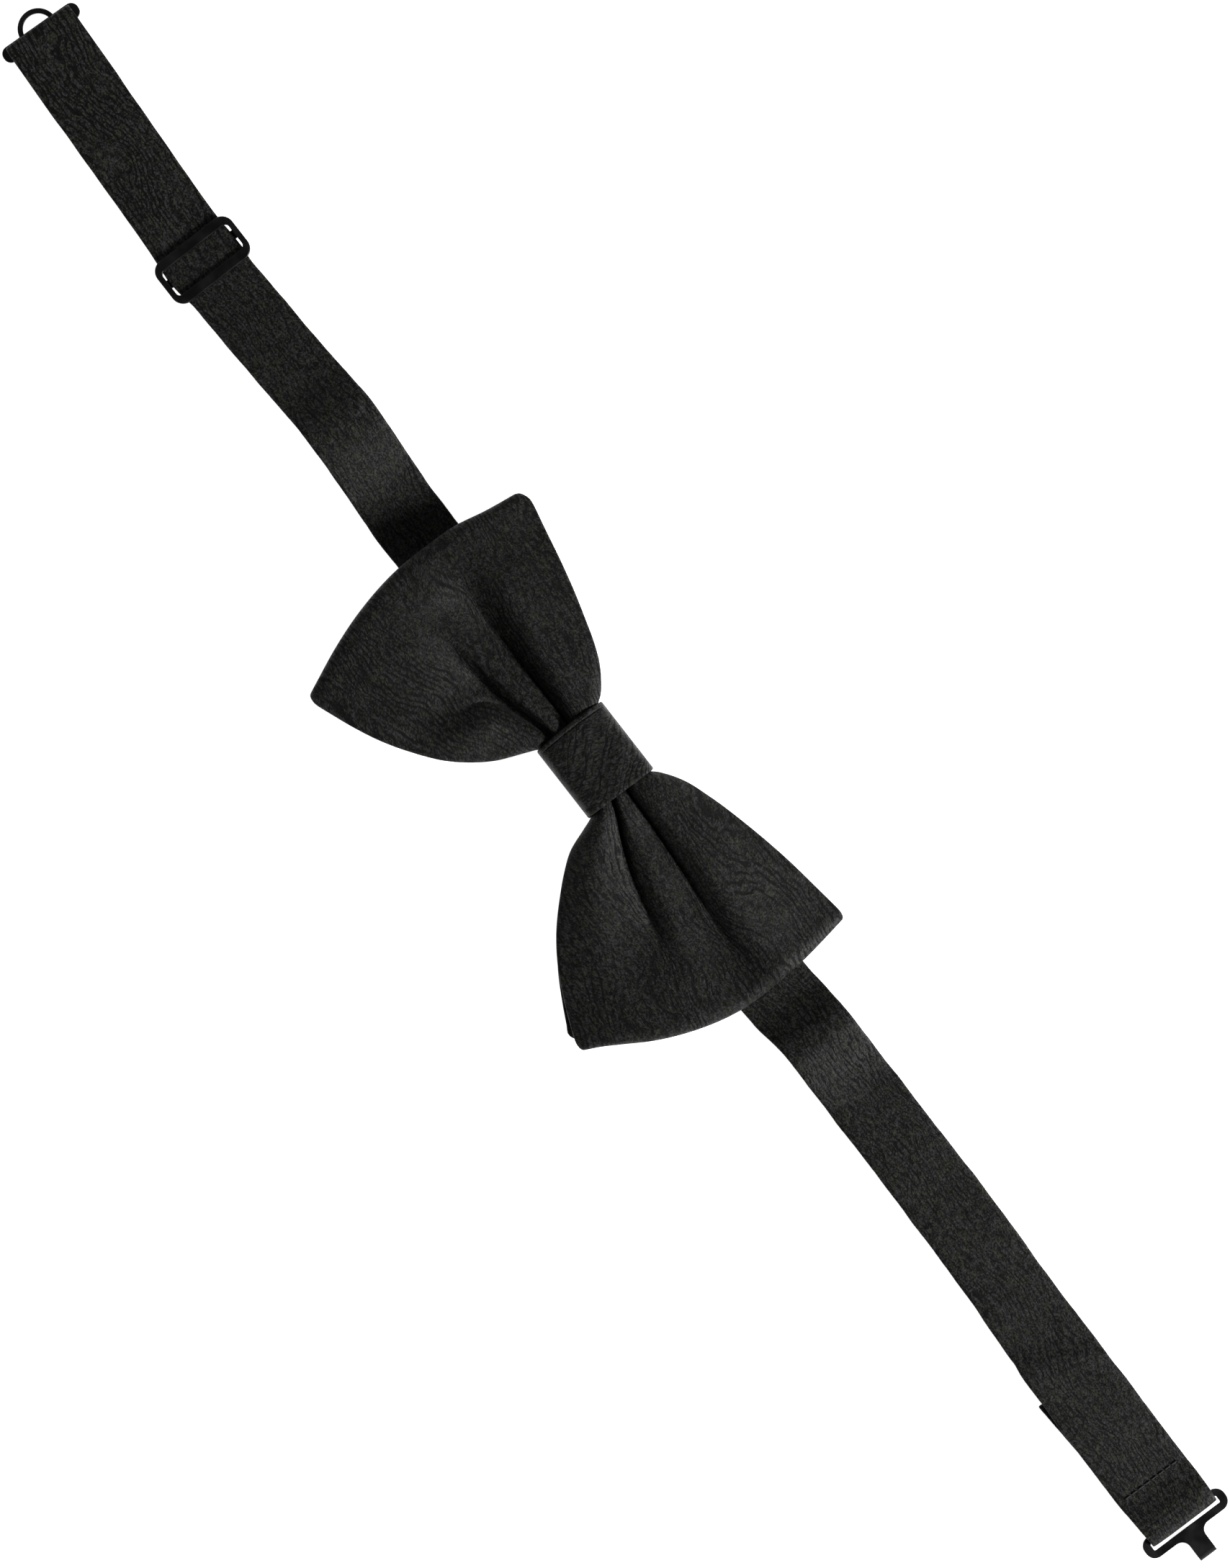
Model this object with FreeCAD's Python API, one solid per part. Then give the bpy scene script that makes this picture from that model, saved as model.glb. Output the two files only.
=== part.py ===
"""Pre-tied bow tie with an adjustable neck band, a slider, and a hook and eye.

The tie lies flat on its back, z = 0 is the surface that it lies on, +Z comes out of the
front of the bow, +X runs along the band to the hook, and the origin is under the knot's
centre. Lengths are in millimetres.
"""
import FreeCAD, Part
import math
import os

# ---- driving dimensions ------------------------------------------------------------
BAND_W = 17.3            # width of the adjustable half of the neck band
HOOK_BAND_W = 18.0       # width of the hook half
BAND_T = 1.0             # sewn band: silk, interlining, silk
PANEL_T = 0.9            # sewn bow panel
SKIN_T = 0.25            # one layer of silk
FIT_GAP = 0.05           # between pieces of one body that lie on each other

WAIST_HALF = 7.6         # gathered width of the bow inside the knot
WAIST_Y = -0.3           # the knot sits this far off the band's centre line

KNOT_X = (-9.3, 10.35)
KNOT_Y = (-9.7, 9.1)
KNOT_H = 12.3
KNOT_WALL = 1.0
SEAM_Y = (3.6, 4.4)      # slit at the back where the ends of the wrap meet

LEFT_FOLD_X = -70.5      # lines where the band folds beside the bow
RIGHT_FOLD_X = 70.5
FOLD_GAP = 0.3

RUN_Z = 3.5              # middle height of the run that passes through the slider
LOOP_Z = 2.0             # height of the bars that hold the two fittings
TURN_R = 1.5             # middle radius of the band round such a bar
METAL_T = 0.7            # plate that the eye and the hook are stamped from
RIM_R = 0.15             # their tumbled rims

SLIDER_X = -145.2
SLIDER_Y = -0.9
SLIDER_L = 11.6
SLIDER_W = 21.7
SLIDER_T = 0.8
SLIDER_BAR = 2.4
SLIDER_RAIL = 1.35

LOOP_ANGLE = -2.7        # degrees that the adjustable loop turns off the X axis
LOOP_PIVOT = (-148.0, -1.0)
RUN_END_X = -150.2
EYE_X = -208.5           # bar of the eye, before the loop is turned
EYE_W = 20.8
EYE_RING_R = 4.75
EYE_WIRE = 1.2

HOOK_ANGLE = -1.0        # degrees that the hook end turns off the X axis
HOOK_PIVOT = (160.0, 0.0)
HOOK_X = 220.4           # bar of the hook, before its end is turned
HOOK_W = 22.8
HOOK_TONGUE_W = 4.6
HOOK_TONGUE_L = 6.6
HOOK_GAP = 0.92          # room inside the folded tongue for the eye's wire
FLAP_END_X = 181.0

FAR = 60.0               # half-height of cutting prisms


# ---- small geometry helpers --------------------------------------------------------
def vec(x, y, z=0.0):
    return FreeCAD.Vector(x, y, z)


def spline(points):
    """One smooth edge through a few points."""
    curve = Part.BSplineCurve()
    curve.interpolate(points)
    return curve.toShape()


def line(a, b):
    return Part.makeLine(a, b)


def polygon(points):
    """A flat face with straight sides."""
    return Part.Face(Part.makePolygon(points + points[:1]))


def box(x0, x1, y0, y1, z0, z1):
    return Part.makeBox(x1 - x0, y1 - y0, z1 - z0, vec(x0, y0, z0))


def rod(start, direction, length, radius):
    return Part.makeCylinder(radius, length, start, direction)


def prism(face, z0=-FAR, z1=FAR):
    """A plan outline carried from z0 to z1."""
    moved = face.copy()
    moved.translate(vec(0, 0, z0))
    return moved.extrude(vec(0, 0, z1 - z0))


def turned(shape, angle, pivot, lift_y):
    """The shape turned about a vertical line, then moved across the band."""
    moved = shape.copy()
    moved.rotate(vec(pivot[0], 0, 0), vec(0, 0, 1), angle)
    moved.translate(vec(0, lift_y, 0))
    return moved


def in_loop(shape):
    """Places a piece of the adjustable loop, modelled straight along X."""
    return turned(shape, LOOP_ANGLE, LOOP_PIVOT, LOOP_PIVOT[1])


def in_hook_end(shape):
    """Places a piece of the hook end, modelled straight along X."""
    return turned(shape, HOOK_ANGLE, HOOK_PIVOT, HOOK_PIVOT[1])


def ribbon(path, radii, thickness):
    """Side view of a strip in the XZ plane: straight runs joined by tangent arcs."""
    upper = []
    lower = []
    points = [vec(x, 0, z) for x, z in path]

    def side(base, normal, sign):
        return base + normal * (sign * thickness / 2.0)

    def left_of(direction):
        return vec(-direction.z, 0, direction.x)

    begin = points[0]
    for i in range(1, len(points)):
        along = (points[i] - points[i - 1]).normalize()
        last = i == len(points) - 1
        stop = points[i]
        if not last:
            onward = (points[i + 1] - points[i]).normalize()
            turn = along.getAngle(onward)
            stop = points[i] - along * (radii[i - 1] * math.tan(turn / 2))
        for edges, sign in ((upper, 1), (lower, -1)):
            edges.append(line(side(begin, left_of(along), sign), side(stop, left_of(along), sign)))
        if last:
            break
        bend = 1 if left_of(along).dot(onward) > 0 else -1
        centre = stop + left_of(along) * (bend * radii[i - 1])
        resume = points[i] + onward * (radii[i - 1] * math.tan(turn / 2))
        middle = (stop + resume) * 0.5 - centre
        middle = centre + middle.normalize() * radii[i - 1]
        mid_normal = (centre - middle).normalize() * bend
        for edges, sign in ((upper, 1), (lower, -1)):
            arc = Part.Arc(
                side(stop, left_of(along), sign),
                side(middle, mid_normal, sign),
                side(resume, left_of(onward), sign),
            )
            edges.append(arc.toShape())
        begin = resume
    ends = [
        line(upper[0].Vertexes[0].Point, lower[0].Vertexes[0].Point),
        line(upper[-1].Vertexes[-1].Point, lower[-1].Vertexes[-1].Point),
    ]
    return Part.Face(Part.Wire(Part.__sortEdges__(upper + lower + ends)))


def strip(path, radii, thickness, plan):
    """A sewn strip: its side view carried across the band, cut to a plan outline."""
    side_view = ribbon(path, radii, thickness)
    side_view.translate(vec(0, -FAR, 0))
    return side_view.extrude(vec(0, 2 * FAR, 0)).common(prism(plan)).removeSplitter()


def band_plan(stations):
    """Plan outline of a band from (x, centre y, width) stations."""
    near = [vec(x, y - w / 2) for x, y, w in stations]
    far = [vec(x, y + w / 2) for x, y, w in stations]
    return polygon(near + far[::-1])


def narrowed(stations, inset):
    return [(x, y, w - 2 * inset) for x, y, w in stations]


def sewn_tube(path, radii, stations):
    """The silk sleeve of a band and the interlining that fills it."""
    core_t = BAND_T - 2 * SKIN_T
    sleeve = strip(path, radii, BAND_T, band_plan(stations))
    core = strip(path, radii, core_t, band_plan(narrowed(stations, 1.2)))
    return sleeve.cut(core), core


def stitches(starts, direction, length, radius):
    """A row of equal threads, grouped as separate solids."""
    return Part.makeCompound([rod(start, direction, length, radius) for start in starts])


# ---- the bow -----------------------------------------------------------------------
def edge_curve(points, end_inset, toward):
    """The outer edge of a wing, moved toward the knot by end_inset."""
    return [vec(x + toward * end_inset, y) for x, y in points]


LEFT_EDGE = [(-58.3, 24.2), (-61.6, 8.0), (-62.1, -6.0), (-57.8, -27.5), (-50.3, -42.6)]
RIGHT_EDGE = [(63.9, 22.6), (66.9, 7.0), (66.7, -9.5), (60.7, -27.7), (50.5, -43.4)]
LEFT_TOP = [(-33.0, 19.9), (-17.0, 14.5), (-12.2, 11.3)]
LEFT_BOTTOM = [(-33.0, -36.5), (-19.8, -27.4), (-12.6, -17.6)]
RIGHT_TOP = [(37.0, 18.9), (18.0, 13.7), (13.0, 10.8)]
RIGHT_BOTTOM = [(35.0, -37.4), (19.8, -25.6), (13.2, -17.6)]
BACK_RIGHT_CORNER = (47.6, -44.3)


def bow_plan(end_inset, side_inset, back=False):
    """Plan outline of both wings and the gathered waist between them."""
    left = edge_curve(LEFT_EDGE, end_inset, 1)
    right = edge_curve(RIGHT_EDGE, end_inset, -1)
    for edge in (left, right):
        edge[0].y -= side_inset
        edge[-1].y += side_inset
    if back:
        right[-1] = vec(BACK_RIGHT_CORNER[0], BACK_RIGHT_CORNER[1] + side_inset)
    waist = WAIST_HALF - side_inset
    top_y = WAIST_Y + waist
    low_y = WAIST_Y - waist
    left_neck = KNOT_X[0] - 0.2
    right_neck = KNOT_X[1] + 0.2

    def flank(corner, points, neck_x, neck_y, sign):
        inner = [vec(x, y - sign * side_inset) for x, y in points]
        return spline([corner] + inner + [vec(neck_x, neck_y)])

    edges = [
        flank(left[0], LEFT_TOP, left_neck, top_y, 1),
        line(vec(left_neck, top_y), vec(right_neck, top_y)),
        flank(right[0], RIGHT_TOP, right_neck, top_y, 1),
        spline(right),
        flank(right[-1], RIGHT_BOTTOM, right_neck, low_y, -1),
        line(vec(right_neck, low_y), vec(left_neck, low_y)),
        flank(left[-1], LEFT_BOTTOM, left_neck, low_y, -1),
        spline(left),
    ]
    return Part.Face(Part.Wire(Part.__sortEdges__(edges)))


def loop_hollow_plan(edge, end_inset, toward, start_x):
    """Plan of the space inside one wing: closed by the outer fold, open at both sides."""
    curve = edge_curve(edge, end_inset, toward)
    top = vec(curve[0].x, FAR)
    low = vec(curve[-1].x, -FAR)
    edges = [
        spline(curve),
        line(curve[0], top),
        line(top, vec(start_x, FAR)),
        line(vec(start_x, FAR), vec(start_x, -FAR)),
        line(vec(start_x, -FAR), low),
        line(low, curve[-1]),
    ]
    return Part.Face(Part.Wire(Part.__sortEdges__(edges)))


def side_region(top, bottom, depth):
    """Everything between a top and a bottom surface, both moved inward by depth."""
    upper = [vec(x, -FAR, z - depth) for x, z in top]
    lower = [vec(x, -FAR, z + depth) for x, z in bottom]
    edges = [
        spline(upper),
        spline(lower),
        line(upper[0], lower[0]),
        line(upper[-1], lower[-1]),
    ]
    return Part.Face(Part.Wire(Part.__sortEdges__(edges))).extrude(vec(0, 2 * FAR, 0))


def mirrored_profile(half):
    """A side profile given from the knot outward, for both wings."""
    left = [(-x, z) for x, z in half[::-1]]
    return left + half[1:]


FRONT_TOP = mirrored_profile([(0.0, 10.5), (11.0, 10.6), (24.0, 11.0), (45.0, 9.2), (68.0, 5.4)])
FRONT_BOTTOM = mirrored_profile([(0.0, 4.55), (11.0, 4.5), (24.0, 3.1), (45.0, 2.5), (68.0, 2.5)])
BACK_TOP = mirrored_profile([(0.0, 4.4), (11.0, 4.3), (24.0, 2.6), (45.0, 2.2), (68.0, 2.2)])
BACK_BOTTOM = mirrored_profile([(0.0, 2.7), (11.0, 2.7), (24.0, 1.5), (45.0, 1.3), (68.0, 1.3)])


def front_layer(outer_depth, inner_depth, side_inset):
    """One layer of the folded bow loop, between two depths below its outer surface."""
    solid = side_region(FRONT_TOP, FRONT_BOTTOM, outer_depth)
    layer = solid.common(prism(bow_plan(outer_depth, side_inset)))
    space = side_region(FRONT_TOP, FRONT_BOTTOM, inner_depth)
    waist = WAIST_HALF + PANEL_T - inner_depth
    for edge, toward in ((LEFT_EDGE, 1), (RIGHT_EDGE, -1)):
        plan = loop_hollow_plan(edge, inner_depth, toward, -toward * waist)
        layer = layer.cut(space.common(prism(plan)))
    return layer


def bow_front():
    """The bow's loop of silk, folded at both outer edges, and the interlining in it."""
    interlining = front_layer(SKIN_T, PANEL_T - SKIN_T, 1.5)
    return front_layer(0.0, PANEL_T, 0.0).cut(interlining), interlining


def bow_back():
    """The flat piece behind the loop, with one corner that shows beside it."""
    piece = side_region(BACK_TOP, BACK_BOTTOM, 0.0).common(prism(bow_plan(1.6, 0.7, back=True)))
    core = side_region(BACK_TOP, BACK_BOTTOM, SKIN_T)
    core = core.common(prism(bow_plan(1.6 + SKIN_T, 2.2, back=True)))
    return piece.cut(core), core


# ---- the knot ----------------------------------------------------------------------
def rounded_frame(y_range, z_range, top_r, low_r):
    """A rounded rectangle in the YZ plane at x = 0."""
    y0, y1 = y_range
    z0, z1 = z_range
    half = math.sqrt(0.5)
    edges = []
    corners = [(y1, z1, top_r, 1, 1), (y0, z1, top_r, -1, 1), (y0, z0, low_r, -1, -1), (y1, z0, low_r, 1, -1)]
    for y, z, r, sy, sz in corners:
        cy = y - sy * r
        cz = z - sz * r
        mid = vec(0, cy + sy * r * half, cz + sz * r * half)
        edges.append(Part.Arc(vec(0, y, cz), mid, vec(0, cy, z)).toShape())
    edges.append(line(vec(0, y1 - top_r, z1), vec(0, y0 + top_r, z1)))
    edges.append(line(vec(0, y0, z1 - top_r), vec(0, y0, z0 + low_r)))
    edges.append(line(vec(0, y0 + low_r, z0), vec(0, y1 - low_r, z0)))
    edges.append(line(vec(0, y1, z0 + low_r), vec(0, y1, z1 - top_r)))
    return Part.Face(Part.Wire(Part.__sortEdges__(edges)))


def sleeve(x_range, y_range, z_range, top_r, low_r, wall):
    """A closed rounded sleeve that runs along X."""
    x0, x1 = x_range
    outer = rounded_frame(y_range, z_range, top_r, low_r)
    inner_y = (y_range[0] + wall, y_range[1] - wall)
    inner_z = (z_range[0] + wall, z_range[1] - wall)
    inner = rounded_frame(inner_y, inner_z, top_r - wall, low_r - wall)
    tube = outer.extrude(vec(x1 - x0, 0, 0)).cut(inner.extrude(vec(x1 - x0, 0, 0)))
    tube.translate(vec(x0, 0, 0))
    return tube


def knot():
    """The wrap round the waist, its interlining, and the ladder stitches that close it."""
    slit = box(-FAR, FAR, SEAM_Y[0], SEAM_Y[1], -1.0, KNOT_WALL + 0.5)
    wrap = sleeve(KNOT_X, KNOT_Y, (0.0, KNOT_H), 2.0, 1.3, KNOT_WALL).cut(slit)
    core_x = (KNOT_X[0] + 1.2, KNOT_X[1] - 1.2)
    core_y = (KNOT_Y[0] + SKIN_T, KNOT_Y[1] - SKIN_T)
    core_z = (SKIN_T, KNOT_H - SKIN_T)
    core_wall = KNOT_WALL - 2 * SKIN_T
    core = sleeve(core_x, core_y, core_z, 2.0 - SKIN_T, 1.3 - SKIN_T, core_wall).cut(slit)
    ladder = [vec(-7.0 + 2.1 * i, SEAM_Y[0], 0.6) for i in range(8)]
    thread = stitches(ladder, vec(0, 1, 0), SEAM_Y[1] - SEAM_Y[0], 0.2)
    return wrap.cut(core), core, thread


def centre_tack():
    """Turns of thread that bind the gathered bow before the knot goes round it."""
    y_range = (WAIST_Y - WAIST_HALF - 0.6, WAIST_Y + WAIST_HALF + 0.6)
    turns = [sleeve((x, x + 0.6), y_range, (2.1, 11.15), 0.7, 0.7, 0.5) for x in (-1.8, -0.3, 1.2)]
    return Part.makeCompound(turns)


# ---- the neck band -----------------------------------------------------------------
def band_centre():
    """The stretch that runs behind the bow and through the knot."""
    path = [
        (LEFT_FOLD_X + FOLD_GAP, 0.5),
        (-15.5, 0.5),
        (-11.5, 1.53),
        (12.5, 1.53),
        (16.5, 0.5),
        (RIGHT_FOLD_X - FOLD_GAP, 0.5),
    ]
    stations = [
        (LEFT_FOLD_X, -0.3, BAND_W + 0.3),
        (-16.0, -0.3, BAND_W),
        (-12.0, WAIST_Y, 15.6),
        (13.0, WAIST_Y, 15.6),
        (17.0, -0.3, HOOK_BAND_W),
        (RIGHT_FOLD_X, 0.1, HOOK_BAND_W + 0.6),
    ]
    return sewn_tube(path, [4.0] * 4, stations)


def band_left():
    """From the left fold over a soft hump to the slider."""
    path = [(LEFT_FOLD_X - FOLD_GAP, 0.5), (-75.0, 0.5), (-97.0, 6.0), (-110.0, RUN_Z), (-149.4, RUN_Z)]
    stations = [
        (LEFT_FOLD_X, -0.3, BAND_W + 0.3),
        (-83.0, 0.5, BAND_W + 0.2),
        (-95.0, 1.2, BAND_W + 0.2),
        (-115.0, 0.3, BAND_W),
        (-148.0, LOOP_PIVOT[1], BAND_W),
        (-150.0, LOOP_PIVOT[1] + 0.05, BAND_W),
    ]
    return sewn_tube(path, [12.0, 9.0, 10.0], stations)


def loop_plan(x0, x1, width):
    return band_plan([(x0, 0.0, width), (x1, 0.0, width)])


def outer_run():
    """The front run of the adjustable loop, from the slider to the eye."""
    path = [(RUN_END_X, RUN_Z), (EYE_X + FIT_GAP, RUN_Z)]
    return in_loop(strip(path, [], BAND_T, loop_plan(RUN_END_X, EYE_X, BAND_W)))


def return_run():
    """The back run of the loop, from the eye to the end that is sewn on the slider."""
    path = [(EYE_X + FIT_GAP, BAND_T / 2), (SLIDER_X - 4.6, BAND_T / 2)]
    return in_loop(strip(path, [], BAND_T, loop_plan(EYE_X, SLIDER_X, BAND_W)))


def eye_turn():
    """Where the band goes round the bar of the eye."""
    outer = TURN_R + BAND_T / 2
    ring = rod(vec(EYE_X, -BAND_W / 2, LOOP_Z), vec(0, 1, 0), BAND_W, outer)
    ring = ring.cut(rod(vec(EYE_X, -BAND_W / 2, LOOP_Z), vec(0, 1, 0), BAND_W, outer - BAND_T))
    return in_loop(ring.common(box(EYE_X - 5, EYE_X, -FAR, FAR, -FAR, FAR)))


def sewn_end():
    """The end of the band, wrapped round the slider's hidden bar and sewn back on itself."""
    wrap_r = 0.95
    bar_z = BAND_T / 2 + wrap_r
    path = [
        (SLIDER_X - 3.9, BAND_T / 2),
        (SLIDER_X + wrap_r, BAND_T / 2),
        (SLIDER_X + wrap_r, bar_z + wrap_r),
        (SLIDER_X - 2.2, bar_z + wrap_r),
        (SLIDER_X - 5.4, BAND_T * 1.5 + FIT_GAP),
        (SLIDER_X - 11.0, BAND_T * 1.5 + FIT_GAP),
    ]
    width = SLIDER_W - 2 * SLIDER_RAIL - 0.2
    plan = band_plan([(SLIDER_X - 12, 0, BAND_W), (SLIDER_X - 3.9, 0, BAND_W), (SLIDER_X - 3.0, 0, width),
                      (SLIDER_X + 3, 0, width)])
    piece = strip(path, [wrap_r - 0.001, wrap_r - 0.001, 1.5, 1.5], BAND_T, plan)
    piece.translate(vec(0, SLIDER_Y, 0))
    return piece


def slider_bartack():
    """Two rows of stitches that hold the sewn end."""
    z = 2 * BAND_T + FIT_GAP + 0.17
    starts = []
    for row_x in (SLIDER_X - 7.4, SLIDER_X - 9.6):
        starts += [vec(row_x, SLIDER_Y - 6.3 + 2.1 * i, z) for i in range(6)]
    return stitches(starts, vec(0, 1, 0), 1.5, 0.15)


def band_right():
    """From the right fold over a low hump to the hook, round its bar and back under."""
    path = [
        (RIGHT_FOLD_X + FOLD_GAP, 0.5),
        (73.0, 0.5),
        (82.0, 4.0),
        (99.0, 0.5),
        (169.0, 0.5),
        (178.0, 1.6),
        (211.0, 1.6),
        (216.5, LOOP_Z + TURN_R),
        (HOOK_X - 0.3, LOOP_Z + TURN_R),
    ]
    stations = [
        (RIGHT_FOLD_X, 0.1, HOOK_BAND_W + 0.6),
        (82.0, 1.2, HOOK_BAND_W),
        (115.0, 1.0, HOOK_BAND_W),
        (160.0, 0.0, HOOK_BAND_W),
        (HOOK_X, (HOOK_X - 160.0) * math.tan(math.radians(HOOK_ANGLE)), HOOK_BAND_W + 0.2),
    ]
    sleeve_piece, core = sewn_tube(path, [8.0, 9.0, 20.0, 12.0, 12.0, 6.0, 6.0], stations)
    outer = TURN_R + BAND_T / 2
    start = vec(HOOK_X, -(HOOK_BAND_W + 0.2) / 2, LOOP_Z)
    ring = rod(start, vec(0, 1, 0), HOOK_BAND_W + 0.2, outer)
    ring = ring.cut(rod(start, vec(0, 1, 0), HOOK_BAND_W + 0.2, outer - BAND_T))
    ring = ring.common(box(HOOK_X, HOOK_X + 5, -FAR, FAR, -FAR, FAR))
    flap_plan = band_plan([(FLAP_END_X, -1.2, HOOK_BAND_W), (HOOK_X, 0.0, HOOK_BAND_W + 0.2)])
    flap = strip([(FLAP_END_X, 0.5), (HOOK_X, 0.5)], [], BAND_T, flap_plan)
    end = in_hook_end(ring.fuse(flap).removeSplitter())
    return sleeve_piece, core, end


def hook_bartack():
    """A row of stitches across the hook end, through both layers."""
    z = 1.6 + BAND_T / 2 + 0.17
    starts = [vec(209.5, -7.6 + 1.9 * i, z) for i in range(8)]
    return in_hook_end(stitches(starts, vec(0, 1, 0), 1.3, 0.15))


# ---- metal fittings ----------------------------------------------------------------
def rounded_plate(x0, x1, y0, y1, z0, z1, radius):
    """A flat plate with round corners."""
    plate = box(x0, x1, y0, y1, z0, z1)
    upright = [e for e in plate.Edges if abs(e.tangentAt(e.FirstParameter).z) > 0.99]
    return plate.makeFillet(radius, upright)


def softened(shape, radius, z_levels):
    """Rounds the long rims of a stamped plate at the given heights."""
    rims = []
    for edge in shape.Edges:
        box_of = edge.BoundBox
        if box_of.ZLength < 1e-6 and any(abs(box_of.ZMin - z) < 1e-6 for z in z_levels):
            rims.append(edge)
    return shape.makeFillet(radius, rims)


def slider():
    """A frame with two bars over the band and a pressed-down bar behind it."""
    x0 = SLIDER_X - SLIDER_L / 2
    x1 = SLIDER_X + SLIDER_L / 2
    half = SLIDER_W / 2
    low = RUN_Z + BAND_T / 2 + 0.1
    top = low + SLIDER_T
    window = half - SLIDER_RAIL
    frame = rounded_plate(x0, x1, -half, half, low, top, 3.0)
    hole = rounded_plate(x0 + SLIDER_BAR, x1 - SLIDER_BAR, -window, window, low - 1, top + 1, 1.0)
    frame = softened(frame.cut(hole), 0.25, [top])
    bar_low = BAND_T + FIT_GAP
    bar_high = bar_low + SLIDER_T
    bar_x0 = SLIDER_X - 1.8
    bar_x1 = SLIDER_X + 0.4
    bar = box(bar_x0, bar_x1, -half + 0.3, half - 0.3, bar_low, bar_high)
    nose = [e for e in bar.Edges if e.Length > SLIDER_L]
    bar = bar.makeFillet(0.39, nose)
    piece = frame.fuse(bar)
    for sign in (-1, 1):
        inner = sign * (window + 0.05)
        outer = sign * (half - 0.3)
        leg = box(bar_x0 - 0.5, bar_x1 + 0.5, min(inner, outer), max(inner, outer), bar_low, low + 0.3)
        piece = piece.fuse(leg)
    piece = piece.removeSplitter()
    piece.translate(vec(0, SLIDER_Y, 0))
    return piece


def eye():
    """A slotted plate that the band loops through, with a ring for the hook."""
    low = LOOP_Z - METAL_T / 2
    top = LOOP_Z + METAL_T / 2
    half = EYE_W / 2
    slot_half = BAND_W / 2 + 0.15
    inner_x = EYE_X - TURN_R - BAND_T / 2 - 0.1
    outer_x = inner_x - 1.0
    plate = rounded_plate(outer_x, EYE_X + 0.85, -half, half, low, top, 1.85)
    slot = rounded_plate(inner_x, EYE_X - 0.85, -slot_half, slot_half, low - 1, top + 1, 0.3)
    plate = softened(plate.cut(slot), RIM_R, [low, top])
    centre = vec(outer_x + 0.85, 0, low)
    ring = rod(centre, vec(0, 0, 1), METAL_T, EYE_RING_R)
    ring = ring.cut(rod(centre, vec(0, 0, 1), METAL_T, EYE_RING_R - EYE_WIRE))
    ring = softened(ring, RIM_R, [low, top])
    ring = ring.common(box(outer_x - 9, outer_x + 0.5, -FAR, FAR, -FAR, FAR))
    return in_loop(plate.fuse(ring))


def hook():
    """A slotted plate with a tongue that is folded back under itself."""
    low = LOOP_Z - METAL_T / 2
    top = LOOP_Z + METAL_T / 2
    half = HOOK_W / 2
    slot_half = HOOK_BAND_W / 2 + 0.4
    front_inner = HOOK_X + TURN_R + BAND_T / 2 + 0.7
    front_outer = front_inner + 1.8
    tongue = HOOK_TONGUE_W / 2
    fillet_r = 2.2
    plate = rounded_plate(HOOK_X - 0.85, front_outer, -half, half, low, top, 2.4)
    slot = rounded_plate(HOOK_X + 0.85, front_inner, -slot_half, slot_half, low - 1, top + 1, 0.3)
    plate = plate.cut(slot)
    bend_r = METAL_T + HOOK_GAP / 2
    bend_x = front_outer + HOOK_TONGUE_L - bend_r
    bend = vec(bend_x, -tongue, low - HOOK_GAP / 2)
    blade = box(front_outer - 0.6, bend_x, -tongue, tongue, low, top)
    leg = box(front_outer + 1.2, bend_x, -tongue, tongue, low - HOOK_GAP - METAL_T, low - HOOK_GAP)
    curl = rod(bend, vec(0, 1, 0), 2 * tongue, bend_r).cut(rod(bend, vec(0, 1, 0), 2 * tongue, HOOK_GAP / 2))
    curl = curl.common(box(bend_x, bend_x + 9, -FAR, FAR, -FAR, FAR))
    piece = plate.fuse(blade).fuse(curl).fuse(leg)
    for sign in (-1, 1):
        corner = vec(front_outer + fillet_r, sign * (tongue + fillet_r), low)
        y0 = min(sign * tongue, sign * (tongue + fillet_r))
        web = box(front_outer, front_outer + fillet_r, y0, y0 + fillet_r, low, top)
        piece = piece.fuse(web.cut(rod(corner, vec(0, 0, 1), METAL_T, fillet_r)))
    return in_hook_end(softened(piece.removeSplitter(), RIM_R, [low, top]))


# ---- all nodes ---------------------------------------------------------------------
def build():
    """Every node of the tie by name."""
    nodes = {}
    nodes["bow_front_shell"], nodes["bow_front_interlining"] = bow_front()
    nodes["bow_back_shell"], nodes["bow_back_interlining"] = bow_back()
    nodes["bow_centre_tack"] = centre_tack()
    nodes["knot_wrap"], nodes["knot_interlining"], nodes["knot_closing_stitches"] = knot()
    nodes["band_centre"], nodes["band_centre_interlining"] = band_centre()
    nodes["band_left"], nodes["band_left_interlining"] = band_left()
    nodes["band_outer_run"] = outer_run()
    nodes["band_return_run"] = return_run()
    nodes["band_eye_turn"] = eye_turn()
    nodes["band_sewn_end"] = sewn_end()
    nodes["slider_bartack"] = slider_bartack()
    nodes["slider"] = slider()
    nodes["eye"] = eye()
    nodes["band_right"], nodes["band_right_interlining"], nodes["band_hook_fold"] = band_right()
    nodes["hook_bartack"] = hook_bartack()
    nodes["hook"] = hook()
    return nodes


os.makedirs("parts", exist_ok=True)
for name, shape in build().items():
    if not shape.isValid():
        raise ValueError(name + " is not a valid shape")
    shape.exportStep("parts/" + name + ".step")
    extent = shape.BoundBox
    print(
        f"{name:26s} {len(shape.Solids)} solids  {shape.Volume:9.2f} mm3  "
        f"x {extent.XMin:8.2f}..{extent.XMax:7.2f}  y {extent.YMin:7.2f}..{extent.YMax:6.2f}  "
        f"z {extent.ZMin:6.2f}..{extent.ZMax:6.2f}"
    )
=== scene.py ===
"""A pre-tied bow tie of dark figured silk, with an adjustable neck band, slider, eye and hook.

Shapes are worked out in millimetres in the frame's own axes: X runs along the band towards the
hook, Y across it, Z up from the surface that it lies on.
"""

import math

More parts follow.
